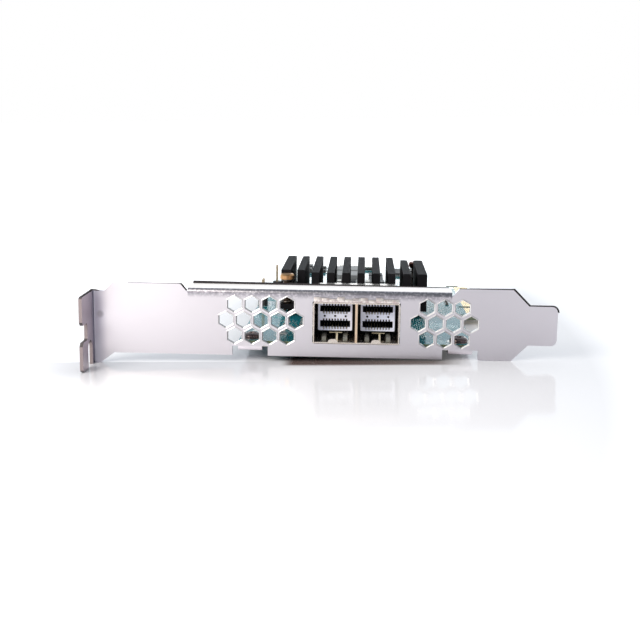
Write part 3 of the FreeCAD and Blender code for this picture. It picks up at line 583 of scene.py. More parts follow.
DIVIDER_METAL = Finish("cage_metal", (0.88, 0.68, 0.5), (0.8, 0.57, 0.4), 0.3, 0.07, 1.0,
                       (0.1, 2.0, 0.1), 5.0, 2.0, label="divider_metal")
LEAF_GOLD = Finish("gold", (0.95, 0.87, 0.66), (0.9, 0.78, 0.52), 0.42, 0.08, 0.35, (0.3, 0.3, 0.06), 1.5,
                   label="leaf_gold")
FINGER_METAL = Finish("cage_metal", (0.93, 0.87, 0.85), (0.66, 0.55, 0.55), 0.4, 0.1, 0.75,
                      (0.2, 0.2, 0.2), 0.7, label="finger_metal")
GUIDE_PLASTIC = Finish("guide_plastic", (0.2, 0.205, 0.185), (0.13, 0.125, 0.11), 0.36, clear=0.1)
CONTACT_GOLD = Finish("gold", (0.93, 0.87, 0.76), (0.88, 0.78, 0.58), 0.35, 0.06, 0.4, label="contact_gold")
BLACK_ANODISED = Finish("black_anodised", (0.01, 0.0095, 0.0115), (0.015, 0.014, 0.0165), 0.6, 0.14, 0.0,
                        (0.09, 5.0, 0.09), 9.0, 9.0, specular=0.05)
DULL_GOLD = Finish("gold", (0.6, 0.49, 0.34), (0.5, 0.38, 0.24), 0.4, 0.08, 1.0, label="dull_gold")
SPRING_STEEL = Finish("spring_steel", (0.2, 0.17, 0.15), (0.13, 0.11, 0.1), 0.3, 0.1, 1.0)
PAD_GREY = Finish("pad_grey", (0.45, 0.46, 0.5), (0.38, 0.39, 0.43), 0.7)
SUBSTRATE_GREEN = SolderMask("substrate_green", (0.02, 0.13, 0.08), (0.015, 0.1, 0.06), 0.35, coat=0.3,
                             patch_span=4.0, trace_pitch=0.4)
PACKAGE_BLACK = Speckled("package_black", (0.022, 0.022, 0.024), (0.03, 0.03, 0.031), 0.52, 0.1,
                         grain=(0.07, 0.07, 0.07), relief=6.0, speck=(0.05, 0.05, 0.05), speck_pitch=0.16)
TIN = Finish("tin", (0.72, 0.71, 0.68), (0.6, 0.6, 0.58), 0.34, 0.12, 1.0, (0.08, 0.08, 0.08), 0.8, 3.0)
CORE_GREY = Speckled("core_grey", (0.33, 0.345, 0.36), (0.27, 0.285, 0.3), 0.62, 0.1, relief=14.0)
CAPACITOR_TAN = Finish("capacitor_tan", (0.15, 0.11, 0.08), (0.1, 0.075, 0.06), 0.4, 0.1, patch_size=3.0)
BULK_BLACK = Finish("bulk_black", (0.03, 0.03, 0.033), (0.024, 0.024, 0.026), 0.46, relief=5.0)
LID_METAL = Finish("lid_metal", (0.72, 0.69, 0.62), (0.64, 0.61, 0.55), 0.26, 0.08, 1.0, (1.5, 0.06, 0.06))
HEADER_BLACK = Finish("header_black", (0.016, 0.016, 0.017), (0.022, 0.022, 0.023), 0.44)
BOARD_MASK = SolderMask("solder_mask", (0.012, 0.15, 0.2), (0.008, 0.12, 0.13), 0.1, 0.03, relief=3.0,
                        patch_size=18.0, specular=0.35)
TRACE_MASK = Finish("solder_mask", (0.028, 0.25, 0.275), (0.02, 0.2, 0.21), 0.14, 0.03, patch_size=12.0,
                    specular=0.35, label="trace_mask")
WHITE_INK = Finish("lamp_white", (0.8, 0.81, 0.79), (0.7, 0.71, 0.69), 0.6, patch_size=0.8,
                   label="white_ink")
LAMP_WHITE = Finish("lamp_white", (0.82, 0.81, 0.72), (0.74, 0.72, 0.6), 0.22, coat=0.5)


# Shapes
@dataclass
class Shape:
    """Points and four-sided faces, kept as whole arrays in metres."""

    points: Array
    faces: Array

    @staticmethod
    def grid(points: Array, wrap_rows: bool = False, wrap_columns: bool = False) -> "Shape":
        """Makes a surface from a grid of points.

        Args:
            points: Rows by columns by three coordinates.
            wrap_rows: Joins the last row to the first.
            wrap_columns: Joins the last column to the first.

        Returns:
            The surface, with one face between each four neighbours.
        """
        rows, columns = points.shape[:2]
        index = np.arange(rows * columns).reshape(rows, columns)
        if wrap_rows:
            index = np.vstack((index, index[:1]))
        if wrap_columns:
            index = np.hstack((index, index[:, :1]))
        corners = (index[:-1, :-1], index[:-1, 1:], index[1:, 1:], index[1:, :-1])
        return Shape(points.reshape(-1, 3), np.stack(corners, axis=-1).reshape(-1, 4))

    @staticmethod
    def closed(rings: Array) -> "Shape":
        """Makes a closed surface from a row of rings; the end rings are drawn together to their middles."""
        ends = [np.broadcast_to(ring.mean(axis=0), ring.shape)[None] for ring in (rings[0], rings[-1])]
        return Shape.grid(np.concatenate((ends[0], rings, ends[1])), wrap_columns=True)

    @staticmethod
    def joined(shapes: Sequence["Shape"]) -> "Shape":
        """Joins several shapes.

        Args:
            shapes: The shapes.

        Returns:
            All of them as one.
        """
        starts = np.cumsum([0] + [len(shape.points) for shape in shapes[:-1]])
        faces = [shape.faces + start for shape, start in zip(shapes, starts)]
        return Shape(np.concatenate([shape.points for shape in shapes]), np.concatenate(faces))

    def copies(self, places: Array) -> "Shape":
        """Copies the shape.

        Args:
            places: Where the copies' origins go, in metres.

        Returns:
            The copies as one shape.
        """
        places = np.asarray(places, float).reshape(-1, 1, 3)
        faces = self.faces[None] + (np.arange(len(places)) * len(self.points))[:, None, None]
        return Shape((self.points[None] + places).reshape(-1, 3), faces.reshape(-1, 4))

    def mesh(self, name: str) -> bpy.types.Mesh:
        """Turns the shape into a mesh.

        Args:
            name: The mesh's name.

        Returns:
            The mesh.
        """
        mesh = bpy.data.meshes.new(name)
        mesh.from_pydata(self.points.tolist(), [], self.faces.tolist())
        return mesh

    def piece(self, name: str, finish: Finish, replaced: Sequence[str] = (),
              smooth_below: float = 40.0) -> None:
        """Turns the shape into a piece that rides on the card.

        Args:
            name: The piece's name.
            finish: Its finish.
            replaced: CAD nodes that the piece stands for.
            smooth_below: Edges flatter than this many degrees are shaded smooth.
        """
        mesh = self.mesh(name)
        work = bmesh.new()
        work.from_mesh(mesh)
        bmesh.ops.remove_doubles(work, verts=work.verts, dist=SAME_POINT)
        bmesh.ops.recalc_face_normals(work, faces=work.faces)
        work.to_mesh(mesh)
        work.free()
        mesh.shade_smooth()
        mesh.set_sharp_from_angle(angle=math.radians(smooth_below))
        mesh.materials.append(finish.material())
        piece = new_object(name, mesh)
        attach(piece, BODY)
        if replaced:
            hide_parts(*replaced)
        LOG.info("%s has %d faces", name, len(mesh.polygons))


def stacked(*parts: Array | float) -> Array:
    """Gives points from their coordinates, each an array or one number for all points."""
    return np.stack(np.broadcast_arrays(*parts), axis=-1)


def unit(vectors: Array) -> Array:
    """Gives vectors at a length of one."""
    return vectors / np.linalg.norm(vectors, axis=1, keepdims=True)


def directions(path: Array) -> Array:
    """Gives the way that a path runs at each of its points, as unit vectors."""
    return unit(np.gradient(path, axis=0))


def tube(path: Array, first: Array, second: Array, sides: int) -> Shape:
    """Makes a closed rod: an oval carried along a path.

    Each point of the path carries the oval that its two half axes span.

    Args:
        path: Points by three coordinates.
        first: One half axis for each point.
        second: The other half axis for each point.
        sides: Points round the oval.

    Returns:
        The rod with closed ends.
    """
    around = np.linspace(0, FULL_TURN, sides, endpoint=False)[None, :, None]
    return Shape.closed(path[:, None] + np.cos(around) * first[:, None] + np.sin(around) * second[:, None])


def turned(radii: Array, heights: Array, sides: int) -> Array:
    """Gives the grid of a turned shape: each radius and height is swept round an upright axis.

    Args:
        radii: Radii along the outline.
        heights: The height of each.
        sides: Points round the axis.

    Returns:
        Rows by sides by three coordinates.
    """
    angles = np.linspace(0, FULL_TURN, sides, endpoint=False)
    radii, heights = np.asarray(radii)[:, None], np.asarray(heights)[:, None]
    return stacked(radii * np.cos(angles), radii * np.sin(angles), heights)


def islands(*nodes: str) -> tuple[Array, Array]:
    """Finds the separate solids of CAD nodes.

    Points at the same place get one number. Every triangle then hands its lowest number to its corners,
    until no number changes, so that each solid is left with one number.

    Args:
        nodes: The nodes' names.

    Returns:
        The lowest and the highest corner of every solid, in metres.
    """
    boxes = []
    for node in nodes:
        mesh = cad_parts[node].data
        points = np.empty(len(mesh.vertices) * 3, np.float32)
        mesh.vertices.foreach_get("co", points)
        points = points.reshape(-1, 3).astype(float)
        mesh.calc_loop_triangles()
        corners = np.empty(len(mesh.loop_triangles) * 3, np.int32)
        mesh.loop_triangles.foreach_get("vertices", corners)
        _, same = np.unique(np.round(points / SAME_SPOT), axis=0, return_inverse=True)
        corners = same.reshape(-1)[corners].reshape(-1, 3)
        labels = np.full(same.max() + 1, -1)
        lowest = np.arange(labels.size)
        while not np.array_equal(lowest, labels):
            labels = lowest.copy()
            np.minimum.at(lowest, corners, labels[corners].min(axis=1)[:, None])
        names, solid = np.unique(labels[same.reshape(-1)], return_inverse=True)
        low, high = np.full((len(names), 3), np.inf), np.full((len(names), 3), -np.inf)
        np.minimum.at(low, solid, points)
        np.maximum.at(high, solid, points)
        boxes.append((low, high))
    low, high = (np.concatenate(corners) for corners in zip(*boxes))
    return low, high


def skirts(low: Array, high: Array, margins: Sequence[float], levels: Sequence[float],
           hollow: bool = False) -> Shape:
    """Makes a closed sloping block, or a flat frame, round each of several boxes seen from above.

    Every level holds the box's four corners, moved out by that level's margin.

    Args:
        low: Lowest corners of the boxes.
        high: Highest corners of the boxes.
        margins: How far each level stands out from the box, in metres.
        levels: Height of each level over the box's lowest corner, in metres.
        hollow: Joins the last level to the first, which makes a frame.

    Returns:
        The blocks or frames.
    """
    middle, half = (low + high) / 2, (high - low) / 2
    signs = np.array(((-1, -1), (1, -1), (1, 1), (-1, 1)), float)
    reach = half[:, None, None, :2] + np.asarray(margins)[None, :, None, None]
    flat = middle[:, None, None, :2] + signs * reach
    level = low[:, 2, None, None, None] + np.asarray(levels)[None, :, None, None]
    rings = np.concatenate((flat, np.broadcast_to(level, (*flat.shape[:3], 1))), axis=-1)
    close = partial(Shape.grid, wrap_rows=True, wrap_columns=True) if hollow else Shape.closed
    return Shape.joined([close(block) for block in rings])


# Sub-assemblies
@dataclass
class Bracket:
    """The folded bracket with its edges and vents, and its two screws; sizes in millimetres.

    The dark strips along the sheared edges are partly the edges' own dull colour and partly painted shade.
    A set of shade heights holds a strip's heights, for each of its corners or for its two ends. The
    rim_profile holds shares of a vent rim's width and rise, from its outer foot to its inner edge.
    """

    length: float = 120.02
    plate_width: float = 18.42
    plate_foot: float = 2.83
    sheet: float = 0.86
    tab_depth: float = 11.43
    tab_width: float = 19.05
    flange_start: float = 25.4
    flange_length: float = 67.7
    flange_depth: float = 7.9
    flange_top: float = 17.5
    relief_width: float = 1.8
    relief_depth: float = 2.25
    bend_radius: float = 1.26
    bend_fade: float = 1.5
    bend_mottle: float = 0.6
    tab_fade: Pair = (1.6, 5.0)
    punch_mark: Pair = (2.6, 10.1)
    tongue_length: float = 7.27
    tongue_width: float = 10.19
    tongue_radius: float = 1.5
    shoulder: float = 4.115
    shade_proud: float = 0.02
    shade_sides: int = 12
    tongue_shade_heights: tuple[float, ...] = (0.1, 0.2, 0.42, 0.4, 0.22)
    tongue_ease: float = 0.5
    corner_shade_heights: Pair = (0.24, 0.46)
    corner_points: int = 7
    flange_shade_heights: Pair = (1.09, 0.56)
    flange_gap: float = 0.4
    flange_points: int = 9
    tab_shade_heights: tuple[float, ...] = (0.1, 0.16, 0.34, 0.3, 0.06)
    tab_gap: float = 0.9
    tab_ease: float = 1.2
    relief_shade_heights: tuple[float, ...] = (0.02, 0.06, 0.3, 0.26)
    relief_lead: float = 5.0
    relief_ease: float = 0.6
    relief_drop: float = 0.1
    relief_foot: Pair = (0.3, 0.4)
    vent_across_flats: float = 3.7
    vent_corners: int = 6
    vent_tilt: float = 30.0
    vent_pitch: float = 4.5
    vent_row_pitch: float = 4.13
    vent_middle: float = 9.29
    vent_groups: tuple[tuple[float, tuple[int, ...]], ...] = ((44.3, (4, 5, 4)), (91.4, (3, 4, 3)))
    rim_width: float = 0.3
    rim_proud: float = 0.12
    rim_profile: tuple[Pair, ...] = ((1.0, 0.1), (0.8, -0.75), (0.53, -1.0), (-0.27, 0.33))
    rim_back: Pair = (-0.27, 0.1)
    head_height: float = 1.5
    head_rim: float = 0.5
    shank_radius: float = 1.25
    tip_bevel: float = 0.3
    thread_pitch: float = 0.45
    thread_depth: float = 0.14
    recess_reach: float = 1.35
    recess_width: float = 0.62
    recess_depth: float = 0.85
    recess_slope: float = 0.3
    shank_points: int = 46
    dome_points: int = 26
    sides: int = 72

    def placed(self, points: Array) -> Array:
        """Moves points from the plate's own measures to the card's frame.

        Args:
            points: X from the tab's outer face, Y back from the plate's front and Z up from its lower edge.

        Returns:
            The same points in metres.
        """
        low, _ = node_box("bracket")
        start = np.array((0.0, self.tab_depth, self.plate_foot))
        return low + (np.asarray(points, float) + start) * MM

    def finish(self) -> PlatedSheet:
        """Gives the plate's finish, with its layers of painted shade and painted highlight placed by the
        plate's sizes.

        Returns:
            The finish.
        """
        left, front, bend = self.placed((self.tab_fade[0], 0, self.flange_top - self.bend_radius))
        right = self.placed((self.tab_fade[1], 0, 0))[0]
        start, end = (self.placed((x, 0, 0))[0]
                      for x in (self.flange_start, self.flange_start + self.flange_length))
        mark = self.placed((self.punch_mark[0], 0, self.punch_mark[1]))
        on_flange = (above(Axis.X, start), below(Axis.X, end))
        top = (*on_flange, Ramp(Axis.UP, 0.8, 0.95))
        tab = below(Axis.Y, front - self.sheet * MM)
        sheared = (tab, *away_from(Axis.RIGHT, 0.4, 0.2))
        inside = (Ramp(Axis.RIGHT, 0.2, 0.5), Ramp(Axis.BACK, -0.2, -0.5), below(Axis.X, right))
        layers = (
            # Painted shade: a darker, mottled band on the plate just below the flange's bend.
            Layer("shade_under_bend", (0.38, 0.36, 0.41),
                  (*on_flange, Ramp(Axis.Z, bend - self.bend_fade * MM, bend)), self.bend_mottle),
            # Painted highlight: a paler copy of the plating on the flange's upper face.
            Layer("flange", (0.94, 0.92, 0.93), top),
            # Painted shade: the plate darkens towards the tab.
            Layer("shade_beside_tab", (0.5, 0.49, 0.57), (Ramp(Axis.X, right, left),)),
            # Painted shade: the folded tab is a darker, mauve copy of the plating.
            Layer("tab", (0.44, 0.375, 0.42), (tab,)),
            # Painted shade: the inside of the fold by the tab is near black.
            Layer("shade_inside_fold", (0.14, 0.13, 0.17), inside),
            # Sheared edges: own dull colour and painted shade; those facing forward are painted lighter.
            Layer("sheared_edge_shade", (0.05, 0.04, 0.045), sheared),
            Layer("lit_front_edge", (0.2, 0.163, 0.172), (*sheared, Ramp(Axis.BACK, -0.7, -0.95))),
        )
        return PlatedSheet("plated_steel", (0.8, 0.765, 0.815), (0.78, 0.745, 0.795), 0.36, 0.04, 1.0,
                           (0.5, 0.1, 0.1), 14.0, 1.2, layers=layers, sheared=sheared, flange=top,
                           punch=(mark[0], mark[2]))

    def edge_shade(self, corners: Array, heights: Array, out: Array) -> Shape:
        """Makes the dark strip of painted shade on one run of sheared edge.

        An oval as wide as the sheet is carried along the edge; it stands out by a height that changes
        evenly between the corners.

        Args:
            corners: Points along the edge, in the plate's own measures, at the middle of the sheet.
            heights: The strip's height at each corner.
            out: The way that the edge faces, as one unit vector or one for each corner.

        Returns:
            The strip.
        """
        out = np.broadcast_to(out, corners.shape)
        across = np.cross(directions(corners), out) * (self.sheet / 2 + self.shade_proud)
        rise = out * np.asarray(heights, float)[:, None]
        return tube(self.placed(corners), across * MM, rise * MM, self.shade_sides)

    def tongue_edge_shade(self) -> Shape:
        """Makes the strip of painted shade from the flange's right relief over the shoulder to the tongue's
        corner.

        Returns:
            The strip.
        """
        top, neck = self.plate_width, (self.plate_width + self.tongue_width) / 2
        end, ease = self.length - self.tongue_length, self.tongue_ease
        relief = self.flange_start + self.flange_length + self.relief_width
        turn = np.linspace(0, math.pi / 2, self.corner_points)
        slant = end - self.shoulder
        x = np.concatenate(((relief, slant - ease, slant, end, end + ease),
                            self.length - self.tongue_radius * (1 - np.sin(turn))))
        z = np.concatenate(((top, top, top, neck, neck), neck - self.tongue_radius * (1 - np.cos(turn))))
        corner = stacked(np.sin(turn), 0.0, np.cos(turn))
        facing = np.vstack(((UP, UP, UP_AND_RIGHT, UP_AND_RIGHT, UP), corner))
        heights = np.concatenate((self.tongue_shade_heights, np.linspace(*self.corner_shade_heights, turn.size)))
        return self.edge_shade(stacked(x, self.sheet / 2, z), heights, facing)

    def flange_edge_shade(self) -> Shape:
        """Makes the strip of painted shade along the flange's back, which gets lower to the right.

        Returns:
            The strip.
        """
        count, middle = self.flange_points, self.sheet / 2
        x = self.flange_start + np.linspace(self.flange_gap, self.flange_length - self.flange_gap, count)
        lip = stacked(x, self.flange_depth - middle, self.flange_top - middle)
        return self.edge_shade(lip, np.linspace(*self.flange_shade_heights, count), UP)

    def edge_shades(self) -> None:
        """Makes the strips of painted shade: by the flange's left relief, on the tongue, the flange and the
        tab.
        """
        middle, top, bend = self.sheet / 2, self.plate_width, self.bend_radius
        start = self.flange_start - self.relief_width
        relief = stacked((self.tab_fade[1] + self.relief_lead, start - self.relief_ease, start,
                          self.flange_start - self.relief_foot[0]), middle,
                         (top, top, top - self.relief_drop, top - self.relief_depth + self.relief_foot[1]))
        tab = stacked((middle, middle, middle, bend, bend + self.tab_ease),
                      (self.tab_gap - self.tab_depth, -self.tab_ease, bend - self.sheet, middle, middle),
                      self.tab_width - self.plate_foot)
        shapes = [self.edge_shade(relief, self.relief_shade_heights, (UP, UP, UP_AND_RIGHT, UP_AND_RIGHT)),
                  self.tongue_edge_shade(), self.flange_edge_shade(), self.edge_shade(tab, self.tab_shade_heights, UP)]
        Shape.joined(shapes).piece("edge_shade_strips", SHEARED_EDGE_SHADE)

    def vent_places(self) -> Array:
        """Places the vents in rows round the middle of each group.

        Returns:
            The middle of every vent, in the plate's own measures.
        """
        places = []
        for middle, counts in self.vent_groups:
            for row, count in enumerate(counts):
                along = middle + (np.arange(count) - (count - 1) / 2) * self.vent_pitch
                level = self.vent_middle + (1 - row) * self.vent_row_pitch
                places.append(stacked(along, 0.0, level))
        return np.concatenate(places)

    def vent_rims(self) -> None:
        """Makes the vent rims, with painted highlight and shade: a low rolled bead carried round six
        corners.
        """
        shares = np.array(self.rim_profile)
        across = np.concatenate((shares[:, 0], self.rim_back)) * self.rim_width
        depth = np.concatenate((shares[:, 1] * self.rim_proud, np.full(len(self.rim_back), self.sheet)))
        ring = turned(self.vent_across_flats / math.sqrt(3) + across, depth, self.vent_corners)
        tilt = math.radians(self.vent_tilt)
        level = math.cos(tilt) * ring[..., 0] - math.sin(tilt) * ring[..., 1]
        upright = math.sin(tilt) * ring[..., 0] + math.cos(tilt) * ring[..., 1]
        shape = Shape.grid(stacked(level, ring[..., 2], upright), True, True)
        shape = shape.copies(self.vent_places())
        Shape(self.placed(shape.points), shape.faces).piece("vent_rims", LIT_PUNCHED_RIM, smooth_below=20.0)

    def screw(self, low: float, high: float, head_radius: float) -> Shape:
        """Makes one screw about the origin's upright axis.

        The outline runs from the tip up the shank, out under the head and over its dome. On the shank the
        radius dips along a helix. On the dome the height dips inside a cross.

        Args:
            low: The tip's level.
            high: The level of the head's top.
            head_radius: The head's radius.

        Returns:
            The closed surface.
        """
        seat, rim = high - self.head_height * MM, self.head_rim * MM
        radius, bevel = self.shank_radius * MM, self.tip_bevel * MM
        shank = np.linspace(low + bevel, seat, self.shank_points)
        spans = np.linspace(1, 0, self.dome_points)
        dome = seat + rim + (self.head_height * MM - rim) * np.sqrt(1 - spans ** 2)
        radii = np.concatenate(([0, radius - bevel], np.full(shank.size, radius), [head_radius],
                                head_radius * spans))
        heights = np.concatenate(([low, low], shank, [seat], dome))
        grid = turned(radii, heights, self.sides)
        angles = np.arctan2(grid[..., 1], grid[..., 0])
        rows = slice(2, 2 + shank.size)
        phase = (heights[rows, None] / (self.thread_pitch * MM) - angles[rows] / FULL_TURN) % 1
        waist = 1 - self.thread_depth / self.shank_radius * np.abs(2 * phase - 1)
        grid[rows, :, :2] *= waist[..., None]
        cap = grid[-spans.size:]
        flat = np.sort(np.abs(cap[..., :2]), axis=-1) / MM
        arm = np.clip((self.recess_width / 2 - flat[..., 0]) / self.recess_slope + 0.5, 0, 1)
        reach = np.clip((self.recess_reach - flat[..., 1]) / self.recess_slope, 0, 1)
        cap[..., 2] -= self.recess_depth * MM * arm * reach
        return Shape.grid(grid, wrap_columns=True)

    def screws(self) -> None:
        """Makes the two screws in place of their plain nodes."""
        low, high = node_box("bracket_screws")
        radius = (high[1] - low[1]) / 2
        places = [(x, low[1] + radius, 0) for x in (low[0] + radius, high[0] - radius)]
        shape = self.screw(low[2], high[2], radius).copies(places)
        shape.piece("ear_screws", SCREW_STEEL, ["bracket_screws"], smooth_below=35.0)

    def build(self) -> None:
        """Dresses the bracket and makes its painted edge shade, vent rims and screws."""
        self.finish().dress("bracket")
        self.edge_shades()
        self.vent_rims()
        self.screws()


@dataclass
class Cooler:
    """The heat sink, the controller under it and the two sprung push pins; sizes in millimetres."""

    wire: float = 0.45
    coil_radius: float = 1.8
    turns: float = 5.0
    points_a_turn: int = 40
    wire_sides: int = 14
    pin_head: float = 1.6
    pin_fade: float = 0.2
    right_head_shade: Pair = (15.0, 20.0)

    def pin(self) -> Finish:
        """Gives the push pins' finish, with painted shade: a darker brown head at the right, and a near
        black shank on both.

        Returns:
            The finish.
        """
        head = node_box("push_pins")[1][2] - self.pin_head * MM
        right, full = (place * MM for place in self.right_head_shade)
        # Painted shade: the right pin's head is a darker brown, and both shanks below the heads are near
        # black.
        layers = (Layer("shaded_right_head", (0.2, 0.085, 0.065), (Ramp(Axis.X, right, full),)),
                  Layer("shank", (0.06, 0.04, 0.028), (Ramp(Axis.Z, head, head - self.pin_fade * MM),)))
        return Finish("pin_brass", (0.72, 0.42, 0.2), (0.6, 0.32, 0.15), 0.3, 0.08, 1.0, (2.0, 2.0, 0.08),
                      2.0, layers=layers)

    def coil(self, radius: float, low: float, high: float) -> Shape:
        """Makes one coil spring about the origin's upright axis.

        The middle of the wire climbs a helix, slowly at both ends so that the end turns lie closed. A
        circle is carried along it, square to the wire.

        Args:
            radius: Outer radius of the coil.
            low: Its lower end.
            high: Its upper end.

        Returns:
            The closed surface of the wire.
        """
        half = self.wire * MM / 2
        share = np.linspace(0, 1, int(self.turns * self.points_a_turn))
        turn = FULL_TURN * self.turns * share
        rise = (high - low - 2 * half) * (0.5 - 0.5 * np.cos(math.pi * share))
        out = stacked(np.cos(turn), np.sin(turn), 0.0)
        middle = (radius - half) * out
        middle[:, 2] = low + half + rise
        return tube(middle, half * out, half * np.cross(directions(middle), out), self.wire_sides)

    def coils(self) -> None:
        """Makes both springs; one stands at each end of their node's box."""
        low, high = node_box("push_pin_springs")
        radius = self.coil_radius * MM
        places = [(*(low[:2] + radius), 0), (*(high[:2] - radius), 0)]
        shape = self.coil(radius, low[2], high[2]).copies(places)
        shape.piece("pin_coils", SPRING_STEEL, ["push_pin_springs"])

    def build(self) -> None:
        """Dresses the cooler's nodes and makes its springs."""
        BLACK_ANODISED.dress("heat_sink")
        self.pin().dress("push_pins")
        PAD_GREY.dress("thermal_pad")
        SUBSTRATE_GREEN.dress("controller_substrate")
        PACKAGE_BLACK.dress("controller_cap")
        self.coils()


@dataclass
class Run:
    """A bundle of traces: each goes straight, slants across and goes straight again; in millimetres.

    Attributes:
        along: The axis that the straight lengths follow, 0 for X and 1 for Y.
        ends: Where the traces start and end along that axis.
        first: Places of the first and last trace at the start, across that axis.
        last: The same at the end.
        bend: Where the slant starts, as a share of the straight length that is left.
        count: How many traces.
    """

    along: int
    ends: Pair
    first: Pair
    last: Pair
    bend: float
    count: int

    def paths(self, level: float) -> Array:
        """Gives the traces' lines: straight, over to the other place at 45 degrees, and straight again.

        Args:
            level: Their level, in metres.

        Returns:
            Traces by four points by three coordinates, in metres.
        """
        first, last = (np.linspace(*places, self.count) for places in (self.first, self.last))
        slant = np.abs(last - first)
        spare = self.ends[1] - self.ends[0] - slant.max()
        start = self.ends[0] + self.bend * spare + (slant.max() - slant) / 2
        flat = [stacked(self.ends[0], start, start + slant, self.ends[1]) * MM,
                stacked(first, first, last, last) * MM]
        return stacked(flat[self.along], flat[1 - self.along], level)


@dataclass
class Board:
    """The plug-in board with its printed and plated details; sizes in millimetres.

    A field of vias holds its lowest and highest place, its columns and its rows; stray_waves holds the two
    sine waves' turns along X and Y. The solder's joints narrow to joint_waist along a power curve.
    """

    runs: tuple[Run, ...] = (
        Run(0, (21.5, 41.2), (-20.5, -1.0), (-19.5, 15.0), 0.9, 24),
        Run(0, (24.0, 41.2), (6.4, 7.2), (17.5, 29.0), 0.5, 8),
        Run(1, (-37.0, -24.5), (-1.2, 18.8), (-2.6, 17.4), 0.55, 30),
        Run(1, (3.2, 52.4), (13.4, 20.6), (22.45, 29.65), 0.35, 12),
        Run(1, (21.8, 57.4), (-19.6, -16.9), (-15.4, -12.7), 0.4, 5),
        Run(1, (-55.0, -14.0), (-12.6, -9.4), (-20.0, -16.8), 0.6, 5),
        Run(1, (-56.5, -30.0), (22.5, 27.3), (24.5, 29.3), 0.3, 9),
        Run(1, (53.0, 73.8), (3.2, 7.6), (2.2, 7.8), 0.7, 4),
        Run(0, (-7.0, 12.0), (64.2, 66.6), (62.4, 64.8), 0.4, 4),
        Run(0, (-20.0, -6.4), (-4.4, 2.4), (-9.0, -2.2), 0.5, 10),
    )
    trace_width: float = 0.2
    trace_height: float = 0.035
    trace_sides: int = 6
    via_fields: tuple[tuple[Pair, Pair, int, int], ...] = (
        ((30.5, -24.5), (34.5, 27.5), 3, 30), ((-12.5, -58.0), (-5.0, -37.0), 6, 13),
        ((22.5, -57.5), (31.0, -33.0), 5, 10), ((-19.6, 27.0), (-2.0, 52.0), 6, 8),
        ((20.5, 18.0), (36.0, 50.0), 3, 9),
    )
    via_stray: float = 0.45
    stray_waves: tuple[Pair, Pair] = ((1.7, 3.1), (2.3, 4.1))
    via_radius: float = 0.3
    via_hole: float = 0.12
    via_rise: float = 0.03
    via_sides: int = 10
    ring_inner: float = 2.2
    ring_outer: float = 3.0
    ring_sides: int = 48
    mark_places: tuple[Pair, ...] = ((-18.6, 74.6), (36.0, 74.6), (-18.6, -52.0))
    mark_radius: float = 0.6
    mark_sides: int = 24
    ink_width: float = 0.16
    ink_height: float = 0.02
    ink_gap: float = 0.45
    dot_radius: float = 0.35
    dot_sides: int = 16
    joint_radius: float = 0.85
    joint_height: float = 0.75
    joint_waist: float = 0.42
    joint_power: float = 1.6
    joint_stretch: float = 2.2
    joint_rows: int = 6
    joint_sides: int = 14

    def top(self) -> float:
        """Gives the level of the board's upper face, in metres."""
        return node_box("board")[1][2]

    def on_top(self, places: Array) -> Array:
        """Gives flat places, in metres, at the level of the board's upper face."""
        return stacked(places[:, 0], places[:, 1], self.top())

    def traces(self) -> None:
        """Makes the traces under the mask: a flat oval carried along each run's bent lines."""
        shapes = []
        for run in self.runs:
            paths = run.paths(self.top())
            across, up = np.zeros(paths.shape[1:]), np.zeros(paths.shape[1:])
            across[:, 1 - run.along] = self.trace_width / 2 * MM
            up[:, 2] = self.trace_height * MM
            shapes += [tube(path, across, up, self.trace_sides) for path in paths]
        Shape.joined(shapes).piece("board_traces", TRACE_MASK, smooth_below=80.0)

    def ring(self, inner: float, outer: float, rise: float, sides: int) -> Shape:
        """Makes a flat ring about the origin: a low square profile turned round an upright axis."""
        profile = turned((inner, inner, outer, outer), (-rise, rise, rise, -rise), sides)
        return Shape.grid(profile * MM, True, True)

    def vias(self) -> None:
        """Makes the plated rings of the vias, on grids whose places stray along two sine waves."""
        places = []
        for low, high, columns, rows in self.via_fields:
            x, y = np.meshgrid(np.linspace(low[0], high[0], columns), np.linspace(low[1], high[1], rows))
            waves = [np.sin(turns[0] * x + turns[1] * y) for turns in self.stray_waves]
            places.append((stacked(x, y) + self.via_stray * stacked(*waves)).reshape(-1, 2))
        ring = self.ring(self.via_hole, self.via_radius, self.via_rise, self.via_sides)
        ring.copies(self.on_top(np.concatenate(places) * MM)).piece("via_rings", TIN)

    def rings(self) -> None:
        """Makes the earthing rings under the screw heads and the round marks that machines aim at."""
        low, high = islands("bracket_screws")
        ring = self.ring(self.ring_inner, self.ring_outer, self.via_rise, self.ring_sides)
        mark = self.ring(0.0, self.mark_radius, self.via_rise, self.mark_sides)
        shapes = [ring.copies(self.on_top((low + high) / 2)),
                  mark.copies(self.on_top(np.array(self.mark_places) * MM))]
        Shape.joined(shapes).piece("earthing_rings", TIN)

    def joints(self) -> None:
        """Makes the solder round each header pin below the board: a hollow-sided cone round the pin."""
        low, high = islands("jumper_pins")
        middle = (low + high) / 2
        middle[:, 2] = node_box("board")[0][2]
        share = np.linspace(1, self.joint_waist, self.joint_rows)
        depth = self.joint_height * self.joint_stretch * (1 - share) ** self.joint_power
        rings = turned(self.joint_radius * share, -depth, self.joint_sides) * MM
        Shape.closed(rings).copies(middle).piece("pin_solder", TIN)

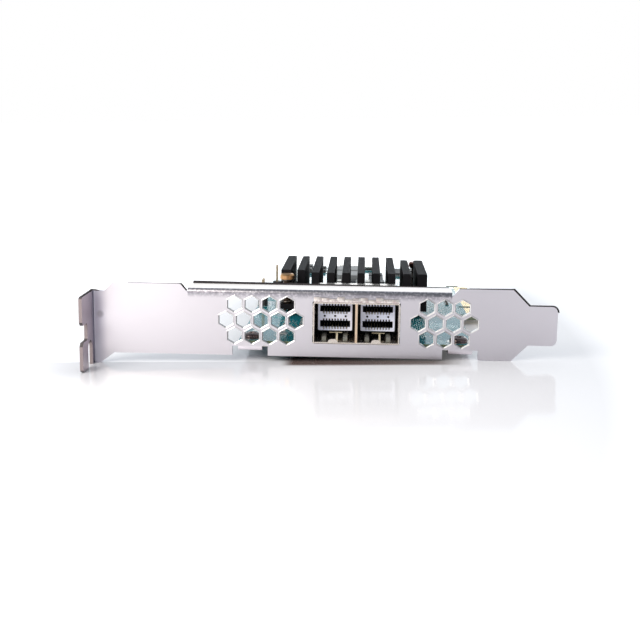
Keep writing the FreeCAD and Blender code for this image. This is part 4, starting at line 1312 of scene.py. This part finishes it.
    def ink(self) -> None:
        """Makes the printed outlines round the larger parts, and a dot by each chip's first lead."""
        chips = ("memory_chips", "boot_chips", "logic_chips")
        low, high = islands(*chips, "oscillator_base", "inductors", "jumper_header", "power_transistors",
                            "regulators", "bulk_capacitors")
        gap, far = self.ink_gap * MM, (self.ink_gap + self.ink_width) * MM
        rise = self.ink_height * MM
        outlines = skirts(self.on_top(low), high, (gap, gap, far, far), (-rise, rise, rise, -rise), True)
        dot = self.ring(0.0, self.dot_radius, self.ink_height, self.dot_sides)
        dots = dot.copies(self.on_top(islands(*chips)[0] - 2 * gap))
        Shape.joined([outlines, dots]).piece("printed_outlines", WHITE_INK)

    def build(self) -> None:
        """Dresses the board and its contacts, and makes its traces, plated rings, solder and print."""
        BOARD_MASK.dress("board")
        GOLD.dress("edge_contacts")
        DULL_GOLD.dress("jumper_pins")
        HEADER_BLACK.dress("jumper_header")
        LAMP_WHITE.dress("status_lamps")
        self.traces()
        self.vias()
        self.rings()
        self.joints()
        self.ink()


@dataclass
class PortBlock:
    """The port cage and what is in it; sizes in millimetres.

    The fingers' heights stray along a sine wave of their numbers, by stray_turn and stray_start. A share of
    that goes into their bulge too, which peaks early by bulge_power.
    """

    finger_count: int = 11
    finger_width: float = 1.9
    finger_sheet: float = 0.1
    finger_rise: float = 1.15
    finger_bulge: float = 0.3
    finger_stray: float = 0.3
    stray_turn: float = 2.4
    stray_start: float = 0.7
    bulge_stray: float = 0.3
    bulge_power: float = 0.8
    finger_margin: float = 1.2
    swollen_finger: int = 5
    swollen_share: float = 2.0
    finger_points: int = 13
    finger_sides: int = 10
    pale_lip: Pair = (0.2, 0.4)

    def housing(self) -> Finish:
        """Gives the receptacles' finish: pale in front, and dark with painted shade inside the slots behind
        their lips.

        Returns:
            The finish.
        """
        front = node_box("receptacle_housing_left")[0][1]
        inside = Ramp(Axis.Y, *(front + depth * MM for depth in self.pale_lip))
        # Painted shade: behind the lips, the walls inside the slots are near black.
        return Finish("housing_plastic", (0.78, 0.83, 1.0), (0.72, 0.77, 0.96), 0.42,
                      layers=(Layer("shade_inside_slots", (0.02, 0.018, 0.018), (inside,)),))

    def fingers(self) -> None:
        """Makes the earthing fingers that fold out over the window's upper edge.

        Each is a thin strip: it starts at the cage's mouth, swells forward along half a sine wave and ends
        on the plate's face above the window. Their heights stray a little, and one is swollen.
        """
        low, high = node_box("port_cage")
        margin = self.finger_margin * MM
        middles = np.linspace(low[0] + margin, high[0] - margin, self.finger_count)
        share = np.linspace(0, 1, self.finger_points)
        across = np.tile((self.finger_width / 2 * MM, 0, 0), (share.size, 1))
        shapes = []
        for number, middle in enumerate(middles):
            stray = self.finger_stray * math.sin(self.stray_turn * number + self.stray_start)
            swell = self.swollen_share if number == self.swollen_finger else 1.0
            depth = self.finger_bulge * swell + self.bulge_stray * stray
            bulge = depth * np.sin(math.pi * share ** self.bulge_power) * MM
            rise = (self.finger_rise + stray) * share * MM
            path = stacked(middle, low[1] - bulge, high[2] + rise)
            thick = np.cross(directions(path), (1, 0, 0)) * self.finger_sheet / 2 * MM
            shapes.append(tube(path, across, thick, self.finger_sides))
        Shape.joined(shapes).piece("window_fingers", FINGER_METAL, smooth_below=50.0)

    def build(self) -> None:
        """Dresses the port block and makes the fingers at its mouth."""
        CAGE_METAL.dress("port_cage", "cage_floor", "earthing_fingers")
        DIVIDER_METAL.dress("cage_divider")
        LEAF_GOLD.dress("earthing_leaves")
        CONTACT_GOLD.dress("receptacle_contacts_left", "receptacle_contacts_right")
        self.housing().dress("receptacle_housing_left", "receptacle_housing_right")
        GUIDE_PLASTIC.dress("light_guides")
        LAMP_WHITE.dress("port_lamps")
        self.fingers()


@dataclass
class SolderedParts:
    """Chips, power parts and small two-ended parts; sizes in millimetres.

    A lead bends down after lead_level of its length, over lead_fall of it. The solder's margins and levels
    are shares of solder_reach.
    """

    lead_thickness: float = 0.15
    lead_level: float = 0.3
    lead_fall: float = 0.35
    lead_points: int = 11
    lead_sides: int = 8
    solder_reach: float = 0.26
    solder_margins: tuple[float, ...] = (1.0, 0.45, 0.12, 0.02)
    solder_levels: tuple[float, ...] = (0.0, 0.3, 0.8, 1.2)
    bar_share: float = 0.2
    bar_rise: float = 0.015

    def leads(self, chips: str, node: str, name: str) -> None:
        """Makes a chip's bent leads in place of their plain node.

        A flat oval is carried along each lead: level from the body, down along a smooth step, and level
        again on the board.

        Args:
            chips: The node of the chips' bodies.
            node: The node of the plain leads.
            name: The new piece's name.
        """
        low, high = islands(node)
        bodies = sum(islands(chips)) / 2
        half = self.lead_thickness / 2 * MM
        share = np.linspace(0, 1, self.lead_points)
        drop = np.clip((share - self.lead_level) / self.lead_fall, 0, 1)
        drop = drop * drop * (3 - 2 * drop)
        shapes = []
        for start, end in zip(low, high):
            along = int(np.argmax((end - start)[:2]))
            middle = (start + end) / 2
            nearest = bodies[np.argmin(np.linalg.norm(bodies - middle, axis=1))]
            inner, outer = (start, end) if middle[along] > nearest[along] else (end, start)
            path = np.tile(middle, (share.size, 1))
            path[:, along] = inner[along] + (outer - inner)[along] * share
            path[:, 2] = end[2] - half - (end[2] - start[2] - 2 * half) * drop
            across = np.zeros_like(path)
            across[:, 1 - along] = (end - start)[1 - along] / 2
            thick = np.cross(directions(path), unit(across)) * half
            shapes.append(tube(path, across, thick, self.lead_sides))
        Shape.joined(shapes).piece(name, TIN, [node], smooth_below=60.0)

    def solder(self) -> None:
        """Makes the solder round every end cap and terminal: a block whose sides curve out to the board."""
        margins, levels = (np.array(shares) * self.solder_reach * MM
                           for shares in (self.solder_margins, self.solder_levels))
        low, high = islands("ceramic_end_caps", "resistor_end_caps", "coupling_end_caps",
                            "inductor_terminals", "bulk_terminals")
        above = skirts(low, high, margins, levels)
        low, high = islands("solder_side_end_caps")
        low[:, 2] = high[:, 2]
        below = skirts(low, high, margins, -levels)
        Shape.joined([above, below]).piece("solder_fillets", TIN, smooth_below=60.0)

    def bars(self) -> None:
        """Makes the pale bar on one end of each bulk capacitor: a low block on its top."""
        low, high = islands("bulk_capacitors")
        high[:, 0] = low[:, 0] + self.bar_share * (high - low)[:, 0]
        low[:, 2] = high[:, 2]
        rise = self.bar_rise * MM
        skirts(low, high, (-2 * rise, -2 * rise), (-rise, rise)).piece("polarity_bars", WHITE_INK)

    def build(self) -> None:
        """Dresses the soldered parts, and makes their bent leads, solder and bars."""
        PACKAGE_BLACK.dress("memory_chips", "boot_chips", "logic_chips", "oscillator_base", "regulators",
                            "power_transistors", "resistor_bodies")
        TIN.dress("inductor_terminals", "bulk_terminals", "ceramic_end_caps", "resistor_end_caps",
                  "coupling_end_caps", "solder_side_end_caps")
        LID_METAL.dress("oscillator_lid")
        CORE_GREY.dress("inductors")
        BULK_BLACK.dress("bulk_capacitors")
        CAPACITOR_TAN.dress("ceramic_bodies", "coupling_bodies", "solder_side_bodies")
        for chip in ("memory", "boot", "logic"):
            self.leads(chip + "_chips", chip + "_leads", chip + "_bent_leads")
        self.solder()
        self.bars()


# Studio
@dataclass(frozen=True)
class Lamp:
    """A soft rectangular lamp; sizes in millimetres.

    Attributes:
        name: Its name.
        place: Where it hangs.
        target: The point that it faces.
        size: Its width and height.
        power: Its power in watts.
        tint: The colour of its light.
    """

    name: str
    place: Triple
    target: Triple
    size: Pair
    power: float
    tint: Triple = (1.0, 1.0, 1.0)

    def hang(self) -> None:
        """Puts the lamp into the scene."""
        light = bpy.data.lights.new(self.name, "AREA")
        light.shape = "RECTANGLE"
        light.size, light.size_y = (side * MM for side in self.size)
        light.energy = self.power
        light.color = self.tint
        start, end = Vector(self.place) * MM, Vector(self.target) * MM
        aim = (end - start).to_track_quat("-Z", "Y").to_matrix().to_4x4()
        new_object(self.name, light).matrix_world = Matrix.Translation(start) @ aim


@dataclass
class Studio:
    """The floor, the world, the lamps and the camera; sizes in millimetres and degrees.

    The card lies as it comes to rest, on its screw tab, the bracket's far shoulder and the board's far
    corner, so the floor leans a little in the card's frame. The floor has a painted shadow under the card
    and a painted grey shadow in front of the plate's left half. The lift brightens it at the right, and
    behind the plate at the left. Its white lies outside an ellipse of glow_span. The ramps of all these are
    in metres.
    """

    floor_reach: float = 2500.0
    floor_rise: Pair = (0.02606, 0.01617)
    floor_index: float = 1.38
    floor_rough: Pair = (0.08, 0.13)
    floor_grain: float = 25.0
    floor_color: Triple = (0.81, 0.81, 0.85)
    floor_seen: Triple = (0.71, 0.715, 0.76)
    shade_color: Triple = (0.12, 0.085, 0.08)
    shade: Ramps = (Ramp(Axis.X, -0.011, -0.007), Ramp(Axis.X, 0.038, 0.028),
                    Ramp(Axis.Y, -0.0712, -0.069), Ramp(Axis.Y, 0.06, 0.02))
    floor_glow: float = 0.42
    glow_middle: Pair = (0.0, -35.0)
    glow_span: Pair = (59.0, 155.0)
    glow_range: Pair = (1.0, 1.5)
    lift: float = 0.28
    lift_right: Ramps = (Ramp(Axis.X, -0.005, 0.05),)
    lift_left: Ramps = (Ramp(Axis.X, -0.021, -0.04), Ramp(Axis.Y, -0.066, -0.04))
    left_share: float = 1.5
    floor_near_shade: Triple = (0.48, 0.485, 0.53)
    near_shade: Ramps = (Ramp(Axis.X, -0.002, -0.03), Ramp(Axis.Y, -0.098, -0.074), below(Axis.Y, -0.066))
    tab_depth: float = 11.43
    eye: Triple = (9.91, -343.34, 65.30)
    yaw: float = -2.15
    pitch: float = 10.78
    roll: float = 0.78
    lens: float = 61.875
    near_clip: float = 10.0
    room_turn: Pair = (-0.15, 0.55)
    room_soft: Pair = (0.8, 1.1)
    room_mirrored: Pair = (0.25, 0.85)
    room_tint: Triple = (0.82, 0.92, 1.0)
    lamps: tuple[Lamp, ...] = (
        Lamp("left_front", (-100, -160, 85), (-24, -118, 0), (140, 80), 0.27, (1.0, 0.955, 0.86)),
        Lamp("back_strip", (20, 620, 58), (20, 0, 40), (900, 95), 0.8),
    )

    def floor_level(self, x: Array, y: Array) -> Array:
        """Gives the floor's level: it rises evenly along X and Y from the foot of the screw tab."""
        left, front, foot = np.array(CAD_BOX[0]) + (0, self.tab_depth * MM, 0)
        return foot + self.floor_rise[0] * (x - left) + self.floor_rise[1] * (y - front)

    def floor_gloss(self) -> bpy.types.Material:
        """Gives the floor's material.

        Its colour is lower for the camera than for what the plate mirrors, with a painted grey shadow in
        front of the plate's left half and a painted dark shadow under the card. Its glow shows to the
        camera, in mirrors and through glass only.

        Returns:
            The material.
        """
        material = bpy.data.materials.new("floor_gloss")
        material.use_nodes = True
        graph = Graph(material.node_tree)
        stretch = (1 / (self.floor_grain * MM),) * 3
        sheen = graph.effect(Effect.GRAIN, stretch=stretch, detail=NOISE_DETAIL)["Value"]
        path = graph.add("LightPath").outputs
        camera = path["Is Camera Ray"]
        mirrored = graph.math("MAXIMUM", path["Is Glossy Ray"], path["Is Transmission Ray"])
        wide, deep = (graph.math("MULTIPLY_ADD", axis, 1 / (span * MM), -middle / span)
                      for axis, span, middle in zip(graph.place(), self.glow_span, self.glow_middle))
        white = graph.times(graph.step(graph.length(wide, deep), *self.glow_range),
                            graph.math("MAXIMUM", camera, mirrored))
        left = graph.times(cover(graph, self.lift_left), self.left_share)
        lift = graph.times(graph.math("MAXIMUM", cover(graph, self.lift_right), left), self.lift, camera)
        # Painted shadow: to the camera, the floor in front of the plate's left half is darker grey.
        seen = graph.blend(cover(graph, self.near_shade), self.floor_seen, self.floor_near_shade)
        color = graph.blend(camera, self.floor_color, seen)
        graph.feed(material.node_tree.nodes["Principled BSDF"].inputs, {
            "Base Color": graph.blend(cover(graph, self.shade), color, self.shade_color),
            "IOR": self.floor_index,
            "Roughness": graph.spread(sheen, *self.floor_rough), "Emission Color": (1.0, 1.0, 1.0, 1.0),
            "Emission Strength": graph.times(graph.math("MAXIMUM", white, lift), self.floor_glow)})
        return material

    def floor(self) -> None:
        """Makes the pale glossy floor, which runs out to plain white away from the card."""
        reach = self.floor_reach * MM * np.array((-1.0, 1.0))
        x, y = np.meshgrid(reach, reach)
        mesh = Shape.grid(stacked(x, y, self.floor_level(x, y))).mesh("floor")
        mesh.materials.append(self.floor_gloss())
        new_object("floor", mesh)

    def world(self) -> None:
        """Makes the world: white behind the card, darker in front of it."""
        world = bpy.data.worlds.new("studio")
        bpy.context.scene.world = world
        world.use_nodes = True
        graph = Graph(world.node_tree)
        path = graph.add("LightPath").outputs
        behind = graph.step(graph.axes("Generated")[1], *self.room_turn)
        soft = graph.times(path["Is Diffuse Ray"], graph.spread(behind, *self.room_soft))
        sharp = graph.times(path["Is Glossy Ray"], graph.spread(behind, *self.room_mirrored))
        seen = graph.math("MAXIMUM", path["Is Camera Ray"], path["Is Transmission Ray"])
        strength = graph.math("MAXIMUM", graph.math("MAXIMUM", soft, sharp), seen)
        color = graph.blend(path["Is Glossy Ray"], (1.0, 1.0, 1.0), self.room_tint)
        graph.feed(world.node_tree.nodes["Background"].inputs, {"Color": color, "Strength": strength})

    def camera(self) -> None:
        """Sets the camera that was fitted to the bracket's corners."""
        yaw, pitch, roll = (math.radians(angle) for angle in (self.yaw, self.pitch, self.roll))
        ahead = Vector((math.sin(yaw) * math.cos(pitch), math.cos(yaw) * math.cos(pitch), -math.sin(pitch)))
        level = Vector((math.cos(yaw), -math.sin(yaw), 0))
        upright = level.cross(ahead)
        right = math.cos(roll) * level + math.sin(roll) * upright
        up = math.cos(roll) * upright - math.sin(roll) * level
        data = bpy.data.cameras.new("camera")
        data.lens = self.lens
        data.clip_start = self.near_clip * MM
        camera = new_object("camera", data)
        turn = Matrix((right, up, -ahead)).transposed().to_4x4()
        camera.matrix_world = Matrix.Translation(Vector(self.eye) * MM) @ turn
        bpy.context.scene.camera = camera

    def build(self) -> None:
        """Sets up the whole studio."""
        bpy.context.scene.view_settings.view_transform = "Standard"
        self.floor()
        self.world()
        for lamp in self.lamps:
            lamp.hang()
        self.camera()


def main() -> None:
    """Builds the sub-assemblies and the studio in order."""
    logging.basicConfig(level=logging.INFO, format="%(name)s: %(message)s")
    for part in (Bracket(), Board(), PortBlock(), Cooler(), SolderedParts(), Studio()):
        part.build()
        LOG.info("%s is done", type(part).__name__)


if __name__ == "__main__":
    main()
